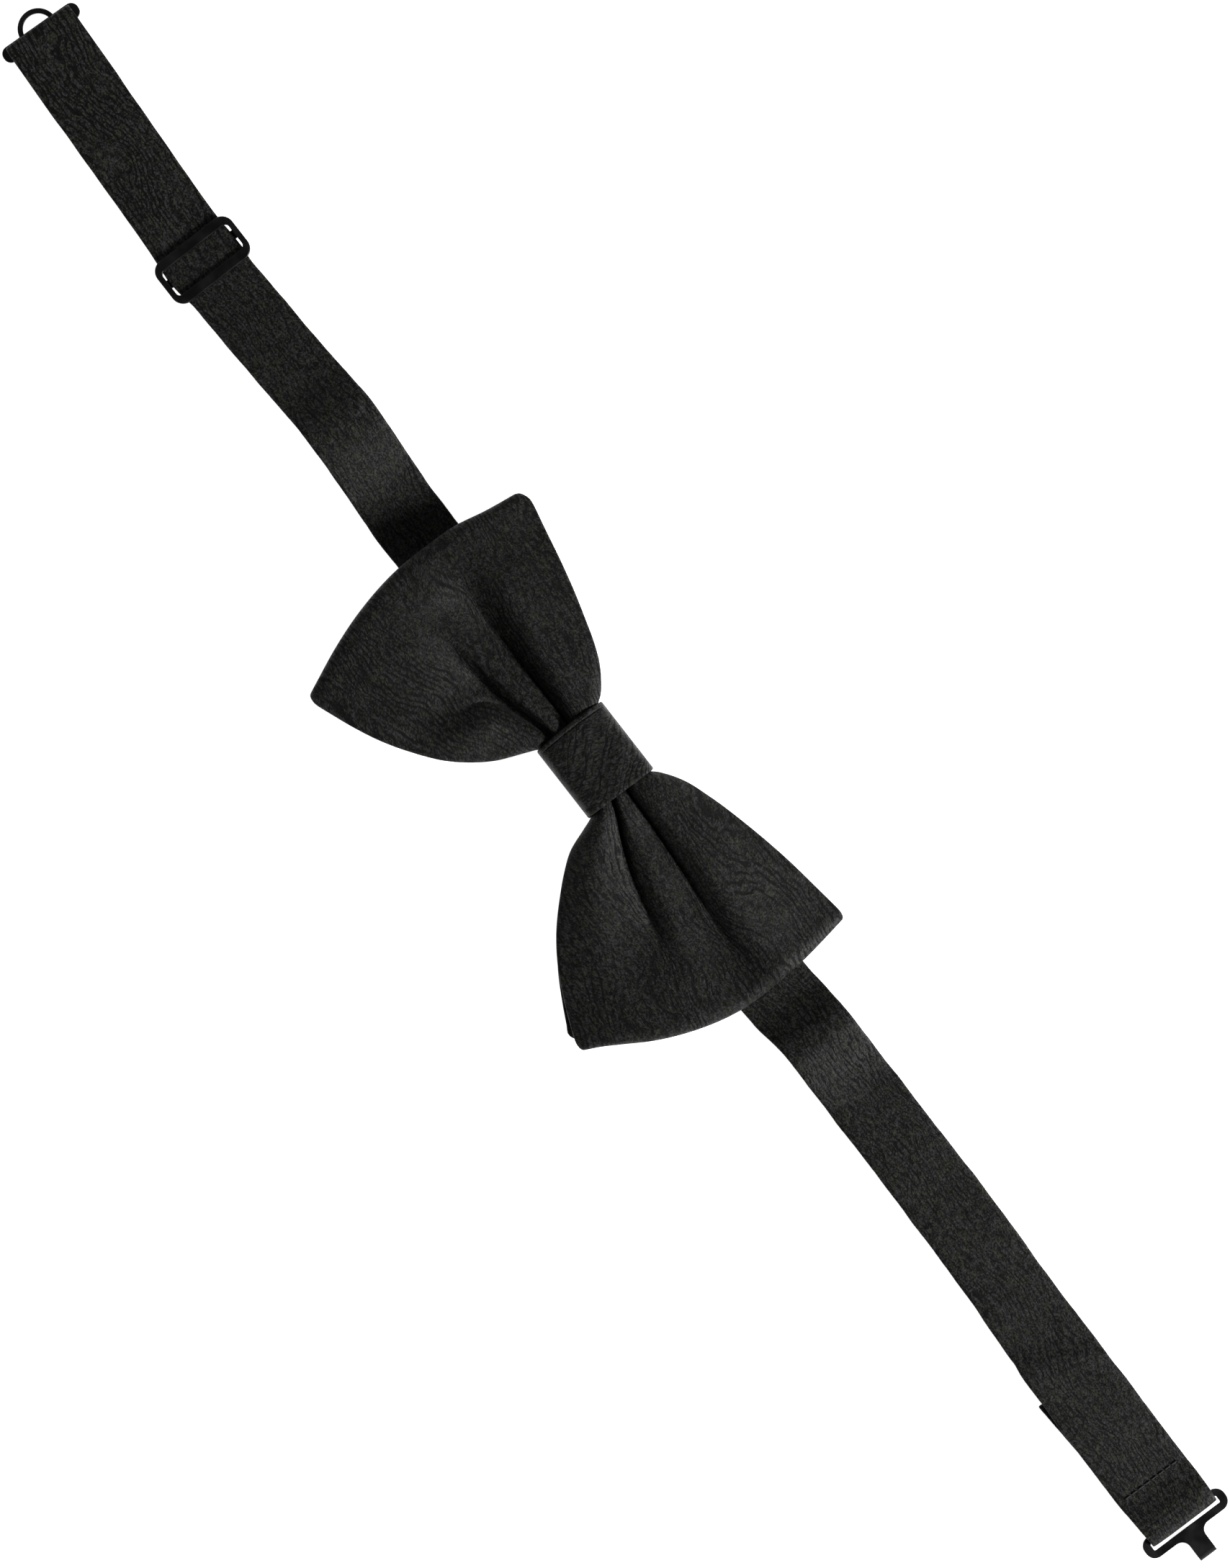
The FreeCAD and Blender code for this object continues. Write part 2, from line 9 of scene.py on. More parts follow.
import bmesh
import bpy
import numpy as np
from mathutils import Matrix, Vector


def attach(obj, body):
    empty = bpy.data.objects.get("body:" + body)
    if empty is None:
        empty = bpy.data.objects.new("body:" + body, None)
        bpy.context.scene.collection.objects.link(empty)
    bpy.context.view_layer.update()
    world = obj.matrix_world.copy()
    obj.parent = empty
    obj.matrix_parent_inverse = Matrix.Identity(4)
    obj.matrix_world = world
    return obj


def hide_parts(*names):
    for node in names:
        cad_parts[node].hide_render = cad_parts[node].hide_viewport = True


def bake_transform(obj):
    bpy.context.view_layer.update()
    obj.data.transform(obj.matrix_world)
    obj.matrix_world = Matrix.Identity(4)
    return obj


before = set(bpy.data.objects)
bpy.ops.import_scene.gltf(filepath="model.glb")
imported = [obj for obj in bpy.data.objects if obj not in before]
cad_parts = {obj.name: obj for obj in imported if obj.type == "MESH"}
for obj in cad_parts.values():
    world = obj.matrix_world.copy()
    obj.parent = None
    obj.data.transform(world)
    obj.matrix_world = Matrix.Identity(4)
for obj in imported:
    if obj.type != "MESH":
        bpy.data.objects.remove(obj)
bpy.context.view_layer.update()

MM = 0.001

PANEL_T = 0.9
BAND_T = 1.0
KNOT_T = 1.0
KNOT_X = (-9.3, 10.35)
KNOT_Y = (-9.7, 9.1)
KNOT_H = 12.3
WAIST_Y = -0.3
SLIDER_X = -145.2
SLIDER_Y = -0.9
# Beyond the slider the band's loop turns by this angle about this point; the band turns again
# at the hook end.
LOOP_ANGLE = -2.7
LOOP_PIVOT = (-148.0, -1.0)
HOOK_ANGLE = -1.0
HOOK_PIVOT = (160.0, 0.0)
# The band's middle line goes round the hook's bar here.
HOOK_X = 220.4
LOOP_Z = 2.0
TURN_R = 1.5
FLAP_END_X = 181.0
# Where each piece's cloth begins on the pattern: the pieces are cut from different places.
BACK_RUN, KNOT_RUN, LEFT_RUN, SEWN_RUN, RIGHT_RUN = 410.0, 620.0, 900.0, 1200.0, 2000.0


# ---- curves ----
def hermite(t, h, values, tangents, i):
    """Cubic from value i to value i + 1, at shares t of a step of length h."""
    return (
        (1 + 2 * t) * (1 - t) ** 2 * values[i]
        + t * (1 - t) ** 2 * h * tangents[i]
        + t**2 * (3 - 2 * t) * values[i + 1]
        + t**2 * (t - 1) * h * tangents[i + 1]
    )


def distances(points):
    """Distance along a line of points, from its first."""
    return np.concatenate([[0.0], np.cumsum(np.linalg.norm(np.diff(points, axis=0), axis=1))])


def through(points, at):
    """Values at `at` of a smooth curve through (x, value, ...) rows, without overshoot."""
    rows = np.array(points, float)
    if rows[0, 0] > rows[-1, 0]:
        rows = rows[::-1]
    x, y = rows[:, 0], rows[:, 1:]
    step = np.diff(x)[:, None]
    slope = np.diff(y, axis=0) / step
    tangent = np.zeros_like(y)
    same = slope[:-1] * slope[1:] > 0
    total = np.where(same, slope[:-1] + slope[1:], 1.0)
    tangent[1:-1] = np.where(same, 2 * slope[:-1] * slope[1:] / total, 0.0)
    tangent[0], tangent[-1] = slope[0], slope[-1]
    at = np.asarray(at, float)
    i = np.clip(np.searchsorted(x, at) - 1, 0, len(step) - 1)
    t = np.clip((at - x[i]) / step[i, 0], 0.0, 1.0)[..., None]
    found = hermite(t, step[i], y, tangent, i)
    return found[..., 0] if y.shape[1] == 1 else found


def rounded(points, at):
    """Points at shares `at` (0 to 1) of the length of a smooth curve through these points."""
    p = np.array(points, float)
    chord = distances(p)
    fine = np.linspace(0.0, chord[-1], 40 * len(p))
    step = np.diff(chord)[:, None]
    slope = np.diff(p, axis=0) / step
    tangent = np.empty_like(p)
    tangent[1:-1] = (slope[:-1] * step[1:] + slope[1:] * step[:-1]) / (step[:-1] + step[1:])
    tangent[0], tangent[-1] = slope[0], slope[-1]
    i = np.clip(np.searchsorted(chord, fine) - 1, 0, len(step) - 1)
    t = ((fine - chord[i]) / step[i, 0])[:, None]
    q = hermite(t, step[i], p, tangent, i)
    run = distances(q)
    at = np.asarray(at, float) * run[-1]
    return np.stack([np.interp(at, run, q[:, k]) for k in range(q.shape[1])], axis=-1)


def ease(t):
    """A smooth step from 0 at t = 0 to 1 at t = 1."""
    t = np.clip(t, 0.0, 1.0)
    return t * t * (3 - 2 * t)


def waves(u, seed, count=5, low=0.6, high=2.4):
    """A smooth, repeatable wander of about unit size."""
    r = np.random.default_rng(seed)
    total = np.zeros_like(np.asarray(u, float))
    for k in range(count):
        f = low * (high / low) ** (k / max(count - 1, 1))
        total = total + np.sin(2 * math.pi * (f * u + r.random())) * (0.6 + 0.4 * r.random())
    return total / math.sqrt(count)


# ---- meshes ----
EDGE_STEPS = 5


def unit(v):
    """Vectors scaled to length 1."""
    return v / np.maximum(np.linalg.norm(v, axis=-1, keepdims=True), 1e-9)


def slopes(grid, loop):
    """The directions along and across a grid of points."""
    if loop:
        along = np.roll(grid, -1, axis=0) - np.roll(grid, 1, axis=0)
    else:
        along = np.gradient(grid, axis=0)
    return unit(along), unit(np.gradient(grid, axis=1))


def blurred(field, times, loop):
    """A grid smoothed a number of times with its neighbours, both ways."""
    for _ in range(times):
        if loop:
            before, after = np.roll(field, 1, axis=0), np.roll(field, -1, axis=0)
        else:
            before = np.concatenate([field[:1], field[:-1]])
            after = np.concatenate([field[1:], field[-1:]])
        field = (before + 2 * field + after) / 4
        left = np.concatenate([field[:, :1], field[:, :-1]], axis=1)
        right = np.concatenate([field[:, 1:], field[:, -1:]], axis=1)
        field = (left + 2 * field + right) / 4
    return field


def make_mesh(name, points, faces, cloth, material, caps=0):
    """An object from points in millimetres. Its last `caps` faces stay flat-shaded."""
    mesh = bpy.data.meshes.new(name)
    mesh.from_pydata((points * MM).tolist(), [], faces)
    kept = mesh.attributes.new("cloth", "FLOAT_VECTOR", "POINT")
    kept.data.foreach_set("vector", np.asarray(cloth, np.float32).ravel())
    work = bmesh.new()
    work.from_mesh(mesh)
    bmesh.ops.recalc_face_normals(work, faces=work.faces)
    work.to_mesh(mesh)
    work.free()
    count = len(mesh.polygons)
    mesh.polygons.foreach_set("use_smooth", [i < count - caps for i in range(count)])
    mesh.materials.append(material)
    made = bpy.data.objects.new(name, mesh)
    bpy.context.scene.collection.objects.link(made)
    return made


def shell(name, outer, inner, cloth, material, loop=False):
    """A closed panel between two grids of points, with its two long edges rounded."""
    rows, across = outer.shape[:2]
    _, side = slopes((outer + inner) / 2, loop)

    def edge(v, sign):
        middle, half = (outer[:, v] + inner[:, v]) / 2, (outer[:, v] - inner[:, v]) / 2
        out = side[:, v] * sign * np.linalg.norm(half, axis=1, keepdims=True)
        turn = [math.pi * k / EDGE_STEPS for k in range(1, EDGE_STEPS)]
        return [middle + half * math.cos(a) + out * math.sin(a) for a in turn]

    high, low = edge(-1, 1.0), edge(0, -1.0)
    ring = [outer[:, v] for v in range(across)] + high
    ring += [inner[:, v] for v in reversed(range(across))] + low[::-1]
    marks = [cloth[:, v] for v in range(across)]
    marks += [cloth[:, -1]] * len(high) + marks[::-1] + [cloth[:, 0]] * len(low)
    size = len(ring)
    points = np.stack(ring, axis=1).reshape(-1, 3)
    marked = np.stack(marks, axis=1).reshape(-1, 3)
    faces = []
    caps = 0 if loop else 2 * (across + 1)
    for i in range(rows if loop else rows - 1):
        a, b = i * size, ((i + 1) % rows) * size
        for j in range(size):
            k = (j + 1) % size
            faces.append((a + j, a + k, b + k, b + j))
    if not loop:
        for start in (0, (rows - 1) * size):
            under = [start + across + len(high) + (across - 1 - v) for v in range(across)]
            for v in range(across - 1):
                faces.append((start + v, start + v + 1, under[v + 1], under[v]))
            ends = [start + across + k for k in range(len(high))]
            faces.append([start + across - 1] + ends + [under[-1]])
            ends = [start + size - len(low) + k for k in range(len(low))]
            faces.append([under[0]] + ends + [start])
    return make_mesh(name, points, faces, marked, material, caps)


# ---- materials ----
class Nodes:
    """A short way to write a material's nodes."""

    def __init__(self, name):
        self.material = bpy.data.materials.new(name)
        self.material.use_nodes = True
        self.tree = self.material.node_tree
        self.shader = self.tree.nodes["Principled BSDF"]

    def add(self, kind, values=(), **settings):
        """A new node; values go to its inputs, settings to its own properties."""
        node = self.tree.nodes.new(kind)
        for key, value in settings.items():
            setattr(node, key, value)
        for key, value in dict(values).items():
            self.put(node.inputs[key], value)
        return node

    def put(self, socket, value):
        """Links an output to an input, or sets the input's value."""
        if isinstance(value, bpy.types.NodeSocket):
            self.tree.links.new(value, socket)
        else:
            socket.default_value = value

    def math(self, operation, a, b=0.0, c=0.0):
        node = self.add("ShaderNodeMath", operation=operation)
        for socket, value in zip(node.inputs, (a, b, c)):
            self.put(socket, value)
        return node.outputs[0]

    def combine(self, x, y, z):
        return self.add("ShaderNodeCombineXYZ", {"X": x, "Y": y, "Z": z}).outputs[0]

    def noise(self, vector, scale=1.0, detail=2.0, roughness=0.5):
        node = self.add(
            "ShaderNodeTexNoise",
            {"Vector": vector, "Scale": scale, "Detail": detail, "Roughness": roughness},
        )
        return node.outputs["Fac"]

    def step(self, value, low, high, to_low=0.0, to_high=1.0):
        """A smooth step between two values of the input."""
        node = self.add("ShaderNodeMapRange", interpolation_type="SMOOTHSTEP")
        for socket, given in zip(node.inputs, (value, low, high, to_low, to_high)):
            self.put(socket, given)
        return node.outputs[0]

    def set(self, **values):
        """Sets inputs of the shader by name, with _ for a space."""
        for key, value in values.items():
            self.put(self.shader.inputs[key.replace("_", " ")], value)


def silk(name, light, dark, strength=1.0, gaps=0.34):
    """Black silk with a wavy figure like watered wood grain, over a fine crepe weave.

    Noise above `gaps` lets the figure's lines show, so a lower value leaves fewer breaks.
    """
    n = Nodes(name)
    place = n.add("ShaderNodeAttribute", attribute_name="cloth").outputs["Vector"]
    split = n.add("ShaderNodeSeparateXYZ", {"Vector": place}).outputs
    along, across, side = split["X"], split["Y"], split["Z"]

    def at(length, width, seed, cross=across):
        x = n.math("DIVIDE", along, length)
        y = n.math("DIVIDE", cross, width)
        return n.combine(x, y, seed)

    drift = n.noise(at(34.0, 21.0, 3.1), detail=1.0)
    bend = n.noise(at(11.0, 6.0, 6.4), detail=1.0)
    wobble = n.noise(at(2.6, 1.5, 8.7), detail=2.0)
    phase = n.math("DIVIDE", across, 1.4)
    phase = n.math("MULTIPLY_ADD", drift, 13.0, phase)
    phase = n.math("MULTIPLY_ADD", bend, 3.4, phase)
    phase = n.math("MULTIPLY_ADD", wobble, 1.3, phase)
    wave = n.math("SINE", n.math("MULTIPLY", phase, 2 * math.pi))
    line = n.step(wave, -0.1, 1.0)
    broken = n.step(n.noise(at(2.8, 0.9, 5.5), detail=2.0), gaps, gaps + 0.24)
    area = n.step(n.noise(at(13.0, 8.0, 1.3), detail=1.5), 0.34, 0.58, 0.30, 1.0)
    figure = n.math("MULTIPLY", n.math("MULTIPLY", line, broken), area)
    figure = n.math("MULTIPLY", figure, strength)

    grain = n.noise(at(0.46, 0.38, 2.2, side), detail=2.0, roughness=0.65)
    coarse = n.noise(at(1.5, 0.9, 7.2, side), detail=1.0)
    weave = n.math("MULTIPLY_ADD", n.math("SUBTRACT", coarse, 0.5), 0.40, grain)
    weave = n.math("MULTIPLY_ADD", figure, -0.06, weave)
    bright = n.math("MAXIMUM", n.math("MULTIPLY_ADD", weave, 8.6, -3.35), 0.05)
    speck = n.step(n.noise(at(0.55, 0.48, 9.4, side), detail=0.0), 0.80, 0.86)

    base = n.add("ShaderNodeMix", data_type="RGBA")
    n.put(base.inputs[0], figure)
    n.put(base.inputs[6], light)
    n.put(base.inputs[7], dark)
    tint = n.step(n.noise(at(1.5, 1.2, 4.6), detail=1.0), 0.36, 0.66)
    warm = n.math("MULTIPLY", bright, n.step(tint, 0.0, 1.0, 1.08, 0.80))
    tone = n.add("ShaderNodeMix", data_type="RGBA", blend_type="MULTIPLY")
    n.put(tone.inputs[0], 1.0)
    n.put(tone.inputs[6], base.outputs[2])
    n.put(tone.inputs[7], n.combine(bright, bright, warm))
    flecked = n.add("ShaderNodeMix", data_type="RGBA")
    n.put(flecked.inputs[0], n.math("MULTIPLY", speck, 0.45))
    n.put(flecked.inputs[6], tone.outputs[2])
    n.put(flecked.inputs[7], FLECK)

    height = n.math("MULTIPLY_ADD", figure, -0.35, weave)
    bump = n.add("ShaderNodeBump", {"Strength": 0.8, "Distance": 0.12 * MM, "Height": height})
    n.set(
        Base_Color=flecked.outputs[2],
        Roughness=n.step(figure, 0.0, 1.0, 0.55, 0.75),
        Normal=bump.outputs[0],
        Specular_IOR_Level=0.18,
        Sheen_Weight=0.02,
        Sheen_Roughness=0.45,
    )
    return n.material


def thread(name):
    """Twisted sewing thread."""
    n = Nodes(name)
    place = n.add("ShaderNodeTexCoord").outputs["Object"]
    fine = n.noise(place, scale=5200.0, detail=2.0)
    tone = n.step(fine, 0.3, 0.7, 0.010, 0.034)
    bump = n.add("ShaderNodeBump", {"Strength": 0.5, "Distance": 0.05 * MM, "Height": fine})
    n.set(
        Base_Color=n.combine(tone, tone, tone),
        Roughness=0.6,
        Normal=bump.outputs[0],
        Sheen_Weight=0.1,
    )
    return n.material


def lacquer(name):
    """Black lacquered metal, a little rubbed."""
    n = Nodes(name)
    place = n.add("ShaderNodeTexCoord").outputs["Object"]
    cloud = n.noise(place, scale=260.0, detail=3.0)
    fine = n.noise(place, scale=2600.0, detail=2.0)
    tone = n.step(cloud, 0.3, 0.75, 0.0030, 0.0065)
    bump = n.add("ShaderNodeBump", {"Strength": 0.25, "Distance": 0.04 * MM, "Height": fine})
    n.set(
        Base_Color=n.combine(tone, tone, tone),
        Roughness=n.step(cloud, 0.3, 0.7, 0.30, 0.46),
        Normal=bump.outputs[0],
        Specular_IOR_Level=0.28,
    )
    return n.material


def dimmed(colour, share):
    """A colour with its three channels multiplied by one number."""
    return tuple(share * c for c in colour[:3]) + (1.0,)


SILK_LIGHT = (0.0158, 0.0156, 0.0149, 1.0)
SILK_DARK = (0.0038, 0.0037, 0.0036, 1.0)
FLECK = (0.075, 0.073, 0.068, 1.0)
# The bow's and the knot's copies of the silk are a shade darker than the band's, as painted shade,
# and the loop's copy is lighter, as painted light.
cloth_silk = silk("figured_silk", SILK_LIGHT, SILK_DARK)
bow_silk_painted_shade = silk("figured_silk_bow", dimmed(SILK_LIGHT, 0.83), SILK_DARK, 1.3, 0.3)
knot_silk_painted_shade = silk("figured_silk_knot", dimmed(SILK_LIGHT, 0.8), dimmed(SILK_DARK, 0.9), 1.1, 0.3)
loop_silk_painted_light = silk("figured_silk_loop", dimmed(SILK_LIGHT, 1.25), SILK_DARK, 1.5, 0.25)
sewing_thread = thread("sewing_thread")
black_lacquer = lacquer("black_lacquer")


# ---- the bow ----
# The outline of the front: each wing's upper side, outer edge and lower side.
LEFT_UPPER = [
    (-8.5, 7.9), (-9.3, 8.7), (-10.2, 9.9), (-13.2, 12.4), (-16.5, 14.4), (-19.8, 15.8),
    (-26.4, 17.9), (-33.0, 19.8), (-39.6, 21.4), (-49.5, 23.5), (-55.0, 24.7), (-58.8, 25.3),
]
LEFT_OUTER = [
    (-50.8, -43.8), (-52.9, -39.3), (-56.1, -32.1), (-59.4, -22.6), (-62.0, -9.2),
    (-62.2, 0.0), (-61.9, 7.6), (-60.3, 15.6), (-58.8, 25.3),
]
LEFT_LOWER = [
    (-8.5, -8.5), (-9.4, -9.7), (-10.3, -11.8), (-13.2, -18.7), (-16.5, -23.6), (-19.8, -27.3),
    (-26.4, -32.4), (-33.0, -36.4), (-39.6, -39.5), (-46.2, -42.1), (-50.8, -43.8),
]
RIGHT_UPPER = [
    (9.5, 7.7), (10.4, 8.6), (11.3, 9.6), (13.2, 11.1), (16.5, 13.1), (23.1, 15.5), (33.0, 18.1),
    (46.2, 20.7), (56.1, 22.1), (64.3, 23.2),
]
RIGHT_OUTER = [
    (51.0, -44.6), (52.9, -40.9), (56.1, -35.7), (59.4, -30.4), (62.7, -23.5), (66.6, -9.5),
    (67.0, 0.0), (66.5, 9.8), (65.5, 16.5), (64.3, 23.2),
]
RIGHT_LOWER = [
    (9.5, -8.3), (10.4, -9.9), (11.3, -12.4), (13.4, -17.9), (16.5, -22.1), (19.8, -25.7),
    (26.4, -31.9), (33.0, -36.4), (39.6, -39.8), (45.4, -42.4), (51.0, -44.6),
]
# A wing's rows run from ROOT_REACH to WING_REACH from the middle of the knot, on a wing scaled
# to that length. Heights on the panel's outer face are given by that distance.
ROOT_REACH = 8.5
WING_REACH = 68.0
BASE_Z = 4.6
CROWN = [
    (0.0, 10.6), (8.5, 11.15), (13.0, 11.4), (24.0, 11.1), (45.0, 9.5), (60.0, 9.3), (68.0, 9.4),
]
UNDER = [(0.0, 4.6), (9.4, 4.6), (24.0, 3.15), (45.0, 2.9), (68.0, BASE_Z)]
# How far a panel's long sides roll down from its crown.
ROLL = [(0.0, 2.0), (8.5, 2.2), (14.0, 2.8), (24.0, 2.6), (45.0, 1.5), (68.0, 0.0)]

# Pleats: x, y, depth and half-width of the crease, then depth of the hollow round it and that
# hollow's half-widths on the lower and the upper side.
LEFT_PLEATS = [
    [
        (-6.5, -0.1, 1.8, 0.5, 1.3, 3.0, 2.2), (-11.0, 0.0, 2.4, 0.5, 1.8, 4.0, 2.6),
        (-18.0, 0.0, 2.1, 0.6, 2.5, 6.0, 3.2), (-26.0, -0.1, 1.4, 0.75, 2.9, 9.0, 4.4),
        (-32.0, -0.2, 0.8, 0.9, 2.9, 11.0, 5.4), (-38.0, -0.4, 0.4, 1.2, 2.8, 12.0, 6.0),
        (-44.0, -0.3, 0.1, 1.2, 2.3, 13.0, 6.8), (-50.0, 0.2, 0.0, 1.2, 1.7, 15.0, 6.8),
        (-56.0, 0.8, 0.0, 1.2, 0.4, 13.0, 7.0), (-61.5, 1.4, 0.0, 1.2, 0.0, 10.0, 7.0),
    ],
    [
        (-6.5, -4.1, 1.0, 0.45, 0.7, 1.9, 1.2), (-11.0, -4.8, 1.6, 0.5, 1.2, 2.2, 1.4),
        (-16.0, -6.4, 1.4, 0.7, 1.8, 3.2, 1.7), (-22.0, -8.5, 0.9, 1.0, 2.6, 5.0, 2.2),
        (-29.0, -9.9, 0.2, 1.4, 2.7, 8.0, 3.0), (-35.0, -10.7, 0.0, 1.4, 1.8, 9.0, 3.6),
        (-41.0, -11.0, 0.0, 1.4, 0.9, 9.0, 5.0), (-48.0, -11.2, 0.0, 1.4, 0.0, 8.0, 4.0),
    ],
    [
        (-9.0, -4.9, 0.9, 0.45, 0.7, 1.9, 1.2), (-13.0, -5.9, 1.5, 0.55, 1.4, 2.4, 1.6),
        (-17.5, -7.4, 1.7, 0.75, 1.7, 3.0, 2.6), (-22.0, -9.2, 1.2, 1.0, 1.9, 3.6, 5.0),
        (-25.4, -12.0, 0.6, 1.2, 1.7, 4.0, 10.0), (-27.0, -16.0, 0.3, 1.4, 1.2, 4.4, 13.0),
        (-27.6, -20.5, 0.0, 1.4, 0.6, 5.0, 14.0), (-28.0, -28.0, 0.0, 1.4, 0.0, 5.4, 14.0),
    ],
]
RIGHT_PLEATS = [
    [
        (7.5, 1.2, 1.8, 0.5, 1.2, 3.0, 2.0), (12.0, 1.1, 2.4, 0.5, 1.4, 4.5, 2.2),
        (20.0, 0.9, 2.1, 0.6, 1.4, 8.5, 2.6), (27.0, 0.5, 1.8, 0.7, 1.2, 11.0, 3.0),
        (34.0, -0.1, 1.2, 0.9, 1.1, 13.0, 3.4), (41.0, -0.9, 0.7, 1.1, 1.1, 14.0, 4.0),
        (50.0, -1.4, 0.3, 1.3, 1.2, 14.0, 5.0), (58.0, -1.4, 0.2, 1.4, 1.3, 14.0, 5.6),
        (66.0, -1.8, 0.0, 1.4, 1.1, 14.0, 6.0),
    ],
    [
        (7.5, -2.0, 1.2, 0.45, 0.9, 2.2, 1.2), (12.0, -3.3, 1.9, 0.55, 1.3, 3.0, 1.5),
        (19.3, -6.8, 1.9, 0.75, 1.7, 5.5, 3.4), (25.0, -9.2, 1.4, 0.9, 1.9, 9.0, 4.6),
        (31.0, -11.2, 0.9, 1.1, 2.3, 11.0, 4.8), (37.0, -12.9, 0.5, 1.4, 2.3, 12.0, 5.0),
        (43.0, -14.6, 0.1, 1.4, 1.5, 12.0, 5.2), (49.0, -16.4, 0.0, 1.4, 0.6, 11.0, 6.0),
        (55.0, -18.0, 0.0, 1.4, 0.0, 11.0, 6.0),
    ],
]
# Swellings beside the pleats: x, y, height and half-widths on the lower and the upper side.
LEFT_SWELLS = [
    [
        (-10.0, 4.0, 0.1, 4.0, 6.0), (-22.0, 5.0, 0.7, 5.0, 9.0), (-33.0, 6.8, 1.5, 5.5, 10.0),
        (-42.0, 7.4, 1.6, 6.5, 12.0), (-51.0, 7.2, 0.8, 7.0, 13.0), (-60.0, 7.6, 0.0, 7.0, 13.0),
    ],
    [
        (-9.0, -2.4, 0.2, 1.6, 2.0), (-18.0, -3.7, 0.7, 2.2, 3.4), (-28.0, -5.4, 0.9, 3.2, 5.5),
        (-38.0, -5.8, 0.6, 4.5, 6.5), (-48.0, -6.2, 0.0, 6.0, 7.0),
    ],
    [
        (-12.0, -9.0, 0.1, 3.0, 2.0), (-17.5, -12.0, 1.1, 4.0, 3.6), (-21.5, -16.5, 1.9, 5.5, 5.0),
        (-23.4, -22.0, 1.4, 7.0, 6.0), (-24.5, -30.0, 0.2, 8.0, 6.0),
    ],
]
RIGHT_SWELLS = [
    [
        (11.0, 3.4, 0.2, 2.4, 6.0), (24.0, 4.4, 1.1, 3.6, 9.0), (38.0, 4.6, 2.3, 5.0, 12.0),
        (52.0, 3.2, 1.7, 6.5, 15.0), (66.0, 1.4, 1.3, 7.0, 16.0),
    ],
    [
        (11.0, -1.0, 0.1, 1.4, 1.6), (22.0, -2.6, 0.2, 3.0, 3.0), (34.0, -5.4, 0.3, 4.8, 5.0),
        (44.0, -8.4, 0.2, 5.5, 7.0), (55.0, -11.5, 0.0, 6.0, 8.0),
    ],
]


def reach_at(u):
    """Distance from the middle of the knot at share u of a wing."""
    return ROOT_REACH + u * (WING_REACH - ROOT_REACH)


def pointed(t, softness, power):
    """A valley's cross-section: 1 at its line, 0 from t = 1 outward."""
    t = np.sqrt(t * t + softness**2) - softness
    return np.clip(1 - t, 0.0, 1.0) ** power


def beside(x, y, rows):
    """For each point of a grid: its distance to the left of a curved line (seen from the knot,
    upper side positive), how far it is past the line's ends, and the row values there."""
    line = rounded([row[:2] for row in rows], np.linspace(0.0, 1.0, 120))
    shape = through([[row[0]] + list(row[2:]) for row in rows], line[:, 0])
    flat = np.stack([x.ravel(), y.ravel()], axis=1)
    near = np.argmin(((flat[:, None, :] - line[None, :, :]) ** 2).sum(-1), axis=1)
    low = np.clip(near, 1, len(line) - 2)
    tangent = unit(line[low + 1] - line[low - 1])
    gap = flat - line[near]
    outward = 1.0 if rows[-1][0] > rows[0][0] else -1.0
    side = (tangent[:, 0] * gap[:, 1] - tangent[:, 1] * gap[:, 0]) * outward
    beyond = ((near == 0) | (near == len(line) - 1)) * np.abs((tangent * gap).sum(1)) / 4.0
    return side, beyond, shape[near].T


def valley(x, y, rows):
    """Depth of a creased valley along a curved line, at each point of a grid."""
    side, beyond, (crease, crease_w, hollow, below, above) = beside(x, y, rows)
    narrow = np.hypot(side / crease_w, beyond)
    wide = np.hypot(side / np.where(side > 0, above, below), beyond)
    soft = 0.06 + 0.30 * (1 - crease / (crease + 0.5))
    depth = crease * pointed(narrow, 0.15, 1.5) + hollow * pointed(wide, soft, 1.9)
    return depth.reshape(x.shape)


def swell(x, y, rows):
    """Height of a rounded swelling along a curved line, at each point of a grid."""
    side, beyond, (height, below, above) = beside(x, y, rows)
    share = np.hypot(side / np.where(side > 0, above, below), beyond)
    return (height * np.exp(-((1.3 * share) ** 2))).reshape(x.shape)


def line_shares(plan, out, pleats, count):
    """Shares across a wing for each row of a grid, set closer together at the pleats."""
    rows, fine = plan.shape[:2]
    shares = np.linspace(0.0, 1.0, fine)
    crowd = np.ones((rows, fine))
    for pleat in pleats:
        line = rounded([row[:2] for row in pleat], np.linspace(0.0, 1.0, 60))
        gap = ((plan.reshape(-1, 2)[:, None] - line[None]) ** 2).sum(-1).argmin(0)
        u, v = out[gap // fine], shares[gap % fine]
        order = np.argsort(u)
        here = np.interp(out, u[order], v[order])
        fade = 1 - ease((out - u.max() + 0.25) / 0.25)
        fade = fade * (1 - ease((out - 0.7) / 0.25))
        bump = np.exp(-(((shares[None] - here[:, None]) / 0.032) ** 2))
        crowd += 5.0 * fade[:, None] * bump
    total = np.cumsum(crowd, axis=1)
    total = (total - total[:, :1]) / (total[:, -1:] - total[:, :1])
    even = np.linspace(0.0, 1.0, count)
    found = np.array([np.interp(even, total[i], shares) for i in range(rows)])
    for _ in range(6):
        found[1:-1] = (found[:-2] + 2 * found[1:-1] + found[2:]) / 4
    return found


def picked(plan, shares):
    """A plan grid read at other shares across, row by row."""
    even = np.linspace(0.0, 1.0, plan.shape[1])
    rows = [
        [np.interp(shares[i], even, plan[i, :, k]) for k in (0, 1)] for i in range(len(plan))
    ]
    return np.array(rows).transpose(0, 2, 1)


